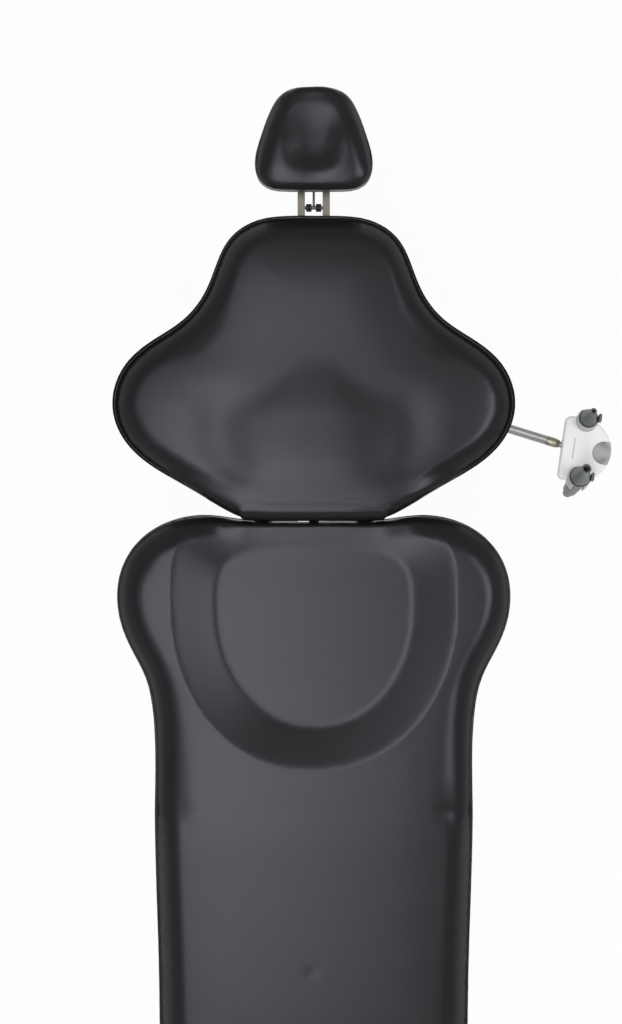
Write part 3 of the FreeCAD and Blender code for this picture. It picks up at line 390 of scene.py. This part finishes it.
def inflate(piece, free, cap, pressure):
    """Swell the free points of a cushion with a short cloth simulation, by a capped distance."""
    scene = bpy.context.scene
    before = coordinates(piece.data)
    outward = normals(piece.data)
    move(piece.data, before - outward * (free * cap * START_INSET)[:, None])
    pins = piece.vertex_groups.new(name="pins")
    for index in np.flatnonzero(free < 0.5).tolist():
        pins.add([index], 1.0, "REPLACE")
    cloth = piece.modifiers.new("Cloth", "CLOTH")
    cloth.settings.quality = CLOTH_QUALITY
    cloth.settings.vertex_group_mass = "pins"
    cloth.settings.use_pressure = True
    cloth.settings.uniform_pressure_force = pressure
    cloth.settings.effector_weights.gravity = 0.0
    cloth.collision_settings.use_collision = False
    cloth.point_cache.frame_start = 1
    cloth.point_cache.frame_end = CLOTH_FRAMES
    for number in range(1, CLOTH_FRAMES + 1):
        scene.frame_set(number)
    view = bpy.context.evaluated_depsgraph_get()
    swollen = coordinates(piece.evaluated_get(view).data)
    piece.modifiers.clear()
    piece.vertex_groups.clear()
    scene.frame_set(1)
    rise = np.clip(((swollen - before) * outward).sum(axis=1), -DEEPEST_DENT, cap)
    first, second = edge_ends(piece.data)
    count = len(rise)
    shared = np.bincount(first, minlength=count) + np.bincount(second, minlength=count)
    for _ in range(SWELL_EVEN):
        around = np.bincount(first, rise[second], count) + np.bincount(second, rise[first], count)
        rise = 0.5 * rise + 0.5 * around / np.maximum(shared, 1)
    move(piece.data, before + outward * rise[:, None])


SMOOTH_PAIR = (0.5, -0.53)


def relax(piece, rounds):
    """Even out the small steps that the meshing leaves, without shrinking the piece."""
    for factor in SMOOTH_PAIR:
        smooth = piece.modifiers.new("Smooth", "SMOOTH")
        smooth.factor = factor
        smooth.iterations = rounds
    applied(piece)


SIDE_FACING = 0.25
OFF_SKIN = 0.002


def from_edge(piece, points, facing):
    """Distance in plan of each point from the cushion's side, where only air is above it."""
    shape = search_tree(piece.data)
    side = []
    for index in np.flatnonzero(np.abs(facing[:, 2]) < SIDE_FACING).tolist():
        start = Vector(points[index] + facing[index] * OFF_SKIN)
        if shape.ray_cast(start, (0, 0, 1))[0] is None:
            side.append((points[index, 0], points[index, 1], 0.0))
    tree = KDTree(len(side))
    for number, place in enumerate(side):
        tree.insert(place, number)
    tree.balance()
    return np.array([tree.find((x, y, 0.0))[2] for x, y in points[:, :2].tolist()])


def settle(piece, skin, free):
    """Put the held points back on the skin of the solid."""
    points = coordinates(piece.data)
    for index in np.flatnonzero(free < 0.5).tolist():
        points[index] = skin.find_nearest(points[index])[0]
    move(piece.data, points)


DOME_REACH = 0.13
EDGE_FACING = (0.0, 0.15)
RELIEF_FACING = (0.1, 0.6)


def sculpt(piece, relief, radius, reach, crowned, swell):
    """Shape the upper side: a relief over (x, y), a crown in place of the round edge, a dome."""
    points = coordinates(piece.data)
    facing = normals(piece.data)
    away = from_edge(piece, points, facing)
    inner = np.clip(radius - away, 0, radius)
    arc = radius - np.sqrt(radius ** 2 - inner ** 2)
    crown = radius * np.clip(1 - away / reach, 0, 1) ** 2
    dome = swell * np.clip(1 - away / DOME_REACH, 0, 1) ** 2
    up = facing[:, 2]
    x, y = points[:, 0], points[:, 1]
    lowered = (crown - arc) * crowned(x, y) * step(*EDGE_FACING, up)
    points[:, 2] += (relief(x, y) - dome * crowned(x, y)) * step(*RELIEF_FACING, up) - lowered
    move(piece.data, points)


def curve_mesh(name, curve):
    """The mesh of a thick curve."""
    guide = bpy.data.objects.new(name, curve)
    bpy.context.scene.collection.objects.link(guide)
    view = bpy.context.evaluated_depsgraph_get()
    mesh = bpy.data.meshes.new_from_object(guide.evaluated_get(view))
    bpy.data.objects.remove(guide)
    mesh.shade_smooth()
    return mesh


def seam_loop(piece, name, level, radius, body):
    """A sewn welt round a cushion, where its side crosses the height level(y)."""
    points = coordinates(piece.data)
    level_mesh = piece.data.copy()
    flat = points.copy()
    flat[:, 2] -= level(points[:, 1])
    move(level_mesh, flat)
    form = bmesh.new()
    form.from_mesh(level_mesh)
    everything = form.verts[:] + form.edges[:] + form.faces[:]
    found = bmesh.ops.bisect_plane(form, geom=everything, plane_co=(0, 0, 0), plane_no=(0, 0, 1))
    edges = [item for item in found["geom_cut"] if isinstance(item, bmesh.types.BMEdge)]
    paths = chains(edges)
    form_paths = [[vert.co.copy() for vert in path] for path in paths]
    form.free()
    bpy.data.meshes.remove(level_mesh)
    longest = max(form_paths, key=len)
    for point in longest:
        point.z += float(level(np.array([point.y]))[0])
    curve = bpy.data.curves.new(name, "CURVE")
    curve.dimensions = "3D"
    curve.bevel_depth = radius
    curve.bevel_resolution = 2
    spline = curve.splines.new("POLY")
    kept = longest[::2]
    spline.points.add(len(kept) - 1)
    for target, point in zip(spline.points, kept):
        target.co = (*point, 1.0)
    spline.use_cyclic_u = True
    return add_piece(name, curve_mesh(name, curve), "black_upholstery", body)


def chains(edges):
    """Edges of closed loops as ordered lists of their points."""
    left = set(edges)
    paths = []
    while left:
        edge = left.pop()
        path = [edge.verts[0], edge.verts[1]]
        while True:
            onward = [e for e in path[-1].link_edges if e in left]
            if not onward:
                break
            left.discard(onward[0])
            path.append(onward[0].other_vert(path[-1]))
        paths.append(path)
    return paths


DISH_RADIUS = 0.06
DISH_SPREAD = (0.088, 0.112)
DISH_Y = 0.824
DISH_CUT = 0.045
SCOOP_Y = 0.79
SCOOP_WIDTH = 0.058
SCOOP_FLARE = 0.06
SCOOP_FLARE_END = 0.87
SCOOP_TO_NECK = 0.06
SCOOP_TO_TOP = 0.13
SCOOP_DEPTH = 0.0085
HEAD_SLOPE = 0.055
HEAD_MIDDLE = 0.805


def head_relief(x, y):
    """A scoop for the head, deepest near the neck, in a cushion that rises to its top."""
    inside = 1 - (x / DISH_SPREAD[0]) ** 2 - ((y - DISH_Y) / DISH_SPREAD[1]) ** 2
    solid = DISH_RADIUS * np.sqrt(np.clip(inside, 0, 1)) - DISH_CUT
    width = SCOOP_WIDTH + SCOOP_FLARE * step(SCOOP_Y, SCOOP_FLARE_END, y)
    length = np.where(y < SCOOP_Y, SCOOP_TO_NECK, SCOOP_TO_TOP)
    away = np.hypot(x / width, (y - SCOOP_Y) / length)
    scoop = SCOOP_DEPTH * step(1.0, 0.15, away)
    return np.maximum(solid, 0) - scoop + HEAD_SLOPE * (y - HEAD_MIDDLE)


FALL_DEPTH = 0.0035
DROP_HEIGHT = 0.0042
DROP_TIP = 0.032
DROP_FLARE = 0.07
VALLEY_X = 0.152
VALLEY_DRIFT = 0.03
VALLEY_DEPTH = 0.003
VALLEY_WIDTH = 0.04


def back_relief(x, y):
    """A fall towards the middle, a drop-shaped lumbar support and a valley on each side of it."""
    side = np.abs(x)
    fall = FALL_DEPTH * step(0.615, 0.45, y) * step(0.23, 0.4, y)
    width = DROP_TIP + DROP_FLARE * step(0.455, 0.34, y)
    drop = DROP_HEIGHT * step(0.458, 0.36, y) * np.exp(-(side / width) ** 3)
    line = VALLEY_X - VALLEY_DRIFT * step(0.33, 0.24, y)
    hollow = VALLEY_DEPTH * np.exp(-((side - line) / VALLEY_WIDTH) ** 2)
    valley = hollow * step(0.43, 0.34, y) * step(0.23, 0.31, y)
    return drop * step(0.222, 0.29, y) - fall - valley


KNEE_Y = -0.277
KNEE_ROUND = 0.07
LEG_SLOPE = 0.168
SIDES_RISE = 0.001
SIDES_FROM = 0.2
SIDES_OVER = 0.1
DIMPLE_DEPTH = 0.0006
DIMPLE_AT = (-0.004, -0.55)
DIMPLE_SPREAD = (0.011, 0.011)


def seat_relief(x, y):
    """Sides that rise a little round the basin, a round knee, a faint dimple in the leg rest."""
    sides = np.clip((np.abs(x) - SIDES_FROM) / SIDES_OVER, 0, 1) * step(-0.1, 0.0, y)
    near_knee = np.clip(KNEE_ROUND - np.abs(y - KNEE_Y), 0, None)
    knee = LEG_SLOPE / (4 * KNEE_ROUND) * near_knee ** 2
    return SIDES_RISE * sides - knee - DIMPLE_DEPTH * hump(x, y, DIMPLE_AT, DIMPLE_SPREAD)


def above_neck(x, y):
    """The headrest keeps its round lower and upper edge."""
    return step(0.735, 0.78, y) * step(0.885, 0.85, y)


def above_hinge(x, y):
    """The backrest keeps its round lower edge."""
    return step(0.23, 0.28, y)


def off_hinge(x, y):
    """The seat keeps its round rear edge where it meets the backrest."""
    return 1 - step(0.1, 0.15, y) * step(0.19, 0.11, np.abs(x))


HINGE = np.array([0.2195, 0.5725])
NOSE_RADIUS = 0.0297
NOSE_INNER = 0.024
NOSE_EASE = 0.0016
NOSE_EASE_X = (0.055, 0.115)
NOSE_END_X = (0.135, 0.115)
NOSE_BLEND = (0.0, -0.014)


def fill_gap(piece):
    """Round the backrest's lower edge about the hinge until it nearly meets the seat."""
    points = coordinates(piece.data)
    side = np.abs(points[:, 0])
    away = points[:, 1:] - HINGE
    reach = np.hypot(away[:, 0], away[:, 1])
    near = (reach > NOSE_INNER) & (reach < NOSE_RADIUS)
    share = near * step(*NOSE_BLEND, away[:, 0]) * step(*NOSE_END_X, side)
    grow = (NOSE_RADIUS - NOSE_EASE * step(*NOSE_EASE_X, side) - reach) * share
    points[:, 1:] += away * (np.maximum(grow, 0) / np.maximum(reach, 1e-9))[:, None]
    move(piece.data, points)


class CushionSettings(bpy.types.PropertyGroup):
    head_voxel: FloatProperty(
        name="Headrest mesh", description="Mesh size of the headrest cushion",
        default=0.004, unit="LENGTH")
    back_voxel: FloatProperty(
        name="Backrest mesh", description="Mesh size of the backrest cushion",
        default=0.004, unit="LENGTH")
    seat_voxel: FloatProperty(
        name="Seat mesh", description="Mesh size of the seat cushion",
        default=0.005, unit="LENGTH")
    swell: FloatProperty(
        name="Swell", description="Furthest that the simulation may move a point of a cushion",
        default=0.002, unit="LENGTH")
    pressure: FloatProperty(
        name="Pressure", description="Inner pressure of the simulated cushions", default=4.0)
    welt: FloatProperty(
        name="Welt", description="Radius of the sewn welt round each cushion",
        default=0.0016, unit="LENGTH")


class StageSettings(bpy.types.PropertyGroup):
    camera_at: FloatVectorProperty(
        name="Camera", description="Place of the camera above the chair",
        default=(-0.0045, 0.205, 3.4), subtype="XYZ")
    frame_height: FloatProperty(
        name="Frame height", description="Height of the picture at the cushions",
        default=1.638, unit="LENGTH")
    cushion_level: FloatProperty(
        name="Cushion level", description="Height of the cushions above the floor",
        default=0.6, unit="LENGTH")
    overhead: FloatProperty(
        name="Overhead light", description="Power of the large light above",
        default=103.0, unit="POWER")
    side: FloatProperty(
        name="Side light", description="Power of the second light, on the right",
        default=88.0, unit="POWER")
    fill: FloatProperty(
        name="Fill light", description="Power of the weaker light on the left",
        default=15.0, unit="POWER")
    ambient: FloatProperty(
        name="Ambient", description="Strength of the light from all round", default=0.36)


FINAL_RELAX = 3


def build_cushion(node, name, voxel, held, relief, edge, body, rounds):
    """A padded cushion: an even copy of its solid, swollen, shaped and smoothed.

    edge holds the edge's radius, the crown's reach, where it is crowned and the dome's height;
    rounds holds how often the piece is smoothed before and after it is shaped.
    """
    settings = bpy.context.scene.chair_cushions
    piece, skin = even_copy(node, name, voxel)
    free = 1.0 - held(coordinates(piece.data))
    inflate(piece, free, settings.swell, settings.pressure)
    relax(piece, rounds[0])
    sculpt(piece, relief, *edge)
    soften(piece, rounds[1])
    relax(piece, FINAL_RELAX)
    settle(piece, skin, free)
    finer = piece.modifiers.new("Subdivision", "SUBSURF")
    finer.levels = 1
    finer.render_levels = 1
    piece.data.materials.append(finishes()["black_upholstery"])
    piece.data.shade_smooth()
    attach(piece, body)
    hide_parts(node)
    return piece


HEAD_HELD = 0.566
HEAD_SEAM = 0.57
BACK_HELD = 0.56
BACK_SEAM = 0.562
SEAT_SEAM = 0.53
SEAT_SEAM_RISE = 0.002


class ChairHeadrest(bpy.types.Operator):
    """Build the headrest cushion and its welt"""
    bl_idname = "chair.headrest"
    bl_label = "Headrest cushion"

    def execute(self, context):
        settings = context.scene.chair_cushions

        def held(points):
            return (points[:, 2] < HEAD_HELD).astype(float)

        piece = build_cushion("headrest_cushion", "headrest_pad", settings.head_voxel, held,
                              head_relief, (0.023, 0.03, above_neck, 0.0), "headrest",
                              (6, 16))
        seam_loop(piece, "headrest_welt", lambda y: HEAD_SEAM + 0 * y, settings.welt, "headrest")
        return {"FINISHED"}


class ChairBackrest(bpy.types.Operator):
    """Build the backrest cushion and its welt"""
    bl_idname = "chair.backrest"
    bl_label = "Backrest cushion"

    def execute(self, context):
        settings = context.scene.chair_cushions

        def held(points):
            x, y, z = np.abs(points[:, 0]), points[:, 1], points[:, 2]
            hinge = (x < 0.125) & (y < 0.31) & (z < 0.597)
            nose = y < 0.225
            return ((z < BACK_HELD) | hinge | nose).astype(float)

        piece = build_cushion("backrest_cushion", "backrest_pad", settings.back_voxel, held,
                              back_relief, (0.026, 0.04, above_hinge, 0.007), "backrest",
                              (6, 2))
        fill_gap(piece)
        seam_loop(piece, "backrest_welt", lambda y: BACK_SEAM + 0 * y, settings.welt, "backrest")
        return {"FINISHED"}


def seat_level(y):
    """Height of the welt along the seat and the leg rest."""
    return SEAT_SEAM - LEG_SLOPE * np.maximum(KNEE_Y - y, 0)


class ChairSeat(bpy.types.Operator):
    """Build the seat and leg cushion and its welt"""
    bl_idname = "chair.seat"
    bl_label = "Seat cushion"

    def execute(self, context):
        settings = context.scene.chair_cushions

        def held(points):
            x, y, z = np.abs(points[:, 0]), points[:, 1], points[:, 2]
            notch = (x < 0.045) & (y > 0.1) & (z < 0.564)
            rear = (x < 0.15) & (y > 0.175) & (z < 0.566)
            return ((z < seat_level(y)) | notch | rear).astype(float)

        piece = build_cushion("seat_cushion", "seat_pad", settings.seat_voxel, held,
                              seat_relief, (0.026, 0.043, off_hinge, 0.003), "seat",
                              (6, 2))
        seam_loop(piece, "seat_welt", lambda y: seat_level(y) + SEAT_SEAM_RISE, settings.welt,
                  "seat")
        return {"FINISHED"}


class ChairBase(bpy.types.Operator):
    """Finish the floor plate, cover and lift column"""
    bl_idname = "chair.base"
    bl_label = "Base and column"

    def execute(self, context):
        dress(["base_cover", "column_outer", "column_middle", "column_inner"])
        dress(["floor_plate", "control_box", "lift_actuator", "column_top_plate",
               "power_inlet"], 0.0006)
        dress(["leveling_screws", "cover_screws", "column_bolts", "outer_glides",
               "middle_glides", "lift_mid_tube", "lift_rod"], 0.0004)
        return {"FINISHED"}


class ChairFrame(bpy.types.Operator):
    """Finish the seat frame, shells, recline hinge and recline drive"""
    bl_idname = "chair.frame"
    bl_label = "Frame and shells"

    def execute(self, context):
        dress(["seat_shell", "backrest_shell"])
        dress(["seat_rail_left", "seat_rail_right", "seat_pan", "hinge_lugs",
               "actuator_crossbar", "recline_actuator", "recline_rod", "backrest_frame",
               "recline_lever", "headrest_guide"], 0.0008)
        dress(["hinge_bushes", "lug_bolts", "actuator_pin", "hinge_shaft", "lever_pin",
               "shell_screws", "arm_pivot_post", "pivot_cap"], 0.0005)
        return {"FINISHED"}


class ChairHeadMount(bpy.types.Operator):
    """Finish the headrest bars, shaft, knuckle and lock lever"""
    bl_idname = "chair.head_mount"
    bl_label = "Headrest mount"

    def execute(self, context):
        dress(["headrest_bars", "headrest_knuckle", "headrest_plate",
               "headrest_lever"], 0.0007)
        dress(["cross_shaft", "shaft_collars", "tilt_pin"], 0.0004)
        return {"FINISHED"}


HOLDER_AT = (0.44229, 0.30709, 0.0)
HOLDER_TURN = math.radians(-98.4)
HOLDER_TOP = 0.52
LABEL_SIZE = (0.034, 0.0026, 0.0003)
LABEL_Y = -0.0147
CUP_X = 0.0485
CUP_LEAN = math.radians(12)
SEAL_WIRE = 0.0007
SEAL_SIDES = 64
SEALS = (("hve", 1, 0.0163, 0.018), ("ejector", -1, 0.0146, 0.017))


def holder_place():
    """Place of the holder about its swivel, at floor level."""
    return Matrix.Translation(HOLDER_AT) @ Matrix.Rotation(HOLDER_TURN, 4, "Z")


def seal_ring(name, side, radius, level, body):
    """A round seal at the foot of a suction nozzle."""
    curve = bpy.data.curves.new(name, "CURVE")
    curve.dimensions = "3D"
    curve.bevel_depth = SEAL_WIRE
    curve.bevel_resolution = 3
    line = curve.splines.new("POLY")
    line.points.add(SEAL_SIDES - 1)
    for number, point in enumerate(line.points):
        turn = 2 * math.pi * number / SEAL_SIDES
        point.co = (radius * math.cos(turn), radius * math.sin(turn), level, 1)
    line.use_cyclic_u = True
    mesh = curve_mesh(name, curve)
    lean = Matrix.Rotation(-CUP_LEAN, 4, "Y")
    cup = Matrix.Translation((side * CUP_X, 0, HOLDER_TOP)) @ lean
    mesh.transform(holder_place() @ cup)
    add_piece(name, mesh, "black_plastic", body)


class ChairArm(bpy.types.Operator):
    """Finish the swinging arm, its tubes and the holder"""
    bl_idname = "chair.arm"
    bl_label = "Arm and holder"

    def execute(self, context):
        dress(["arm_hub", "arm_tube", "tube_collar", "arm_neck"], 0.0005)
        dress(["holder_plate"])
        dress(["holder_underside", "instrument_cups", "thumb_button"], 0.0008)
        form = bmesh.new()
        bmesh.ops.create_cube(form, size=1.0, matrix=Matrix.Diagonal((*LABEL_SIZE, 1)))
        mesh = bpy.data.meshes.new("label_strip")
        form.to_mesh(mesh)
        form.free()
        mesh.transform(holder_place() @ Matrix.Translation((0, LABEL_Y, HOLDER_TOP)))
        add_piece("label_strip", mesh, "light_grey_plastic", "holder")
        return {"FINISHED"}


class ChairHandpieces(bpy.types.Operator):
    """Finish the two suction handpieces and their valve tabs"""
    bl_idname = "chair.handpieces"
    bl_label = "Suction handpieces"

    def execute(self, context):
        dress(["hve_handpiece", "hve_nozzle", "ejector_handpiece", "ejector_nozzle"], 0.0006)
        dress(["hve_slider", "ejector_slider"], 0.0005)
        for name, side, radius, level in SEALS:
            seal_ring(name + "_seal", side, radius, level, name)
        return {"FINISHED"}


LAMP_LEVEL = 4.6
LAMPS = {
    "overhead": ((-0.46, -1.7), (1.15, 5.4)),
    "side": ((3.0, 0.1), (2.7, 2.4)),
    "fill": ((-2.1, -1.2), (2.0, 4.4)),
}


def area_light(name, place, aim, size, power):
    """A rectangular soft light that looks at a point."""
    lamp = bpy.data.lights.new(name, "AREA")
    lamp.shape = "RECTANGLE"
    lamp.size, lamp.size_y = size
    lamp.energy = power
    item = bpy.data.objects.new(name, lamp)
    item.location = place
    item.rotation_euler = (Vector(aim) - Vector(place)).to_track_quat("-Z", "Y").to_euler()
    bpy.context.scene.collection.objects.link(item)


FLOOR_GLOW = 0.95


def floor_finish():
    """A pale floor that shows white, with a trace of the chair's shadow kept."""
    net = Net("floor")
    here = net.place()
    speck = net.noise(here, 60.0, 4.0)
    colour = net.mix(speck.ramp(0.3, 0.7), (0.8, 0.8, 0.8), (0.83, 0.83, 0.83))
    net.finish(Base_Color=colour, Roughness=0.7)
    path = net.node("ShaderNodeLightPath", {})
    seen = path.part("Is Camera Ray") + path.part("Is Glossy Ray")
    seen = seen + path.part("Is Transmission Ray")
    glow = net.node("ShaderNodeEmission", {}, (1, 1, 1, 1), 1.0)
    shown = net.node("ShaderNodeMixShader", {}, seen.ramp(0.0, 1.0) * FLOOR_GLOW,
                     Term(net, net.surface.outputs[0]), glow)
    net.tree.links.new(shown.socket, net.tree.nodes["Material Output"].inputs["Surface"])
    return net.material


FLOOR_REACH = 37.0
SWEEP_RADIUS = 3.0
SWEEP_STEPS = 12
WALL_TOP = 4.0
FLOOR_SIDES = 96


def studio_floor():
    """A round floor that sweeps up into a low wall far away, so that no horizon shows."""
    rings = [(FLOOR_REACH, 0.0)]
    for number in range(1, SWEEP_STEPS + 1):
        turn = math.radians(90.0 / SWEEP_STEPS * number)
        rings.append((FLOOR_REACH + SWEEP_RADIUS * math.sin(turn),
                      SWEEP_RADIUS * (1 - math.cos(turn))))
    rings.append((FLOOR_REACH + SWEEP_RADIUS, WALL_TOP))
    points = []
    for radius, level in rings:
        for number in range(FLOOR_SIDES):
            turn = 2 * math.pi * number / FLOOR_SIDES
            points.append((radius * math.cos(turn), radius * math.sin(turn), level))
    faces = [tuple(range(FLOOR_SIDES))]
    for ring in range(len(rings) - 1):
        for number in range(FLOOR_SIDES):
            here = ring * FLOOR_SIDES + number
            beside = ring * FLOOR_SIDES + (number + 1) % FLOOR_SIDES
            faces.append((here, beside, beside + FLOOR_SIDES, here + FLOOR_SIDES))
    mesh = bpy.data.meshes.new("floor")
    mesh.from_pydata(points, [], faces)
    return mesh


SENSOR_HEIGHT = 24.0


class ChairStage(bpy.types.Operator):
    """Set the floor, the light and the camera"""
    bl_idname = "chair.stage"
    bl_label = "Stage"

    def execute(self, context):
        scene = context.scene
        stage = scene.chair_stage
        mesh = studio_floor()
        mesh.materials.append(floor_finish())
        floor = bpy.data.objects.new("floor", mesh)
        scene.collection.objects.link(floor)

        world = bpy.data.worlds.new("studio")
        world.use_nodes = True
        scene.world = world
        back = world.node_tree.nodes["Background"]
        back.inputs["Color"].default_value = (1, 1, 1, 1)
        back.inputs["Strength"].default_value = stage.ambient

        for name, (spot, size) in LAMPS.items():
            area_light(name, (*spot, LAMP_LEVEL), (*spot, 0.0), size, getattr(stage, name))

        lens = bpy.data.cameras.new("camera")
        lens.sensor_fit = "VERTICAL"
        lens.sensor_height = SENSOR_HEIGHT
        distance = stage.camera_at[2] - stage.cushion_level
        lens.lens = SENSOR_HEIGHT * distance / stage.frame_height
        lens.dof.use_dof = False
        lens.clip_end = 100.0
        camera = bpy.data.objects.new("camera", lens)
        camera.location = stage.camera_at
        scene.collection.objects.link(camera)
        scene.camera = camera
        scene.view_settings.view_transform = "Standard"
        return {"FINISHED"}


PIECES = (ChairHeadrest, ChairBackrest, ChairSeat, ChairBase, ChairFrame, ChairHeadMount,
          ChairArm, ChairHandpieces, ChairStage)


class ChairPanel(bpy.types.Panel):
    """Buttons that build the chair piece by piece"""
    bl_idname = "VIEW3D_PT_chair"
    bl_label = "Dental chair unit"
    bl_space_type = "VIEW_3D"
    bl_region_type = "UI"
    bl_category = "Chair"

    def draw(self, context):
        for group in (context.scene.chair_cushions, context.scene.chair_stage):
            for name in group.bl_rna.properties.keys():
                if name not in ("rna_type", "name"):
                    self.layout.prop(group, name)
        for piece in PIECES:
            self.layout.operator(piece.bl_idname)


CLASSES = (CushionSettings, StageSettings, *PIECES, ChairPanel)


def register():
    for item in CLASSES:
        bpy.utils.register_class(item)
    bpy.types.Scene.chair_cushions = PointerProperty(type=CushionSettings)
    bpy.types.Scene.chair_stage = PointerProperty(type=StageSettings)


def unregister():
    del bpy.types.Scene.chair_stage
    del bpy.types.Scene.chair_cushions
    for item in reversed(CLASSES):
        bpy.utils.unregister_class(item)


def main():
    register()
    bpy.ops.chair.headrest()
    bpy.ops.chair.backrest()
    bpy.ops.chair.seat()
    bpy.ops.chair.base()
    bpy.ops.chair.frame()
    bpy.ops.chair.head_mount()
    bpy.ops.chair.arm()
    bpy.ops.chair.handpieces()
    bpy.ops.chair.stage()


if __name__ == "__main__":
    main()
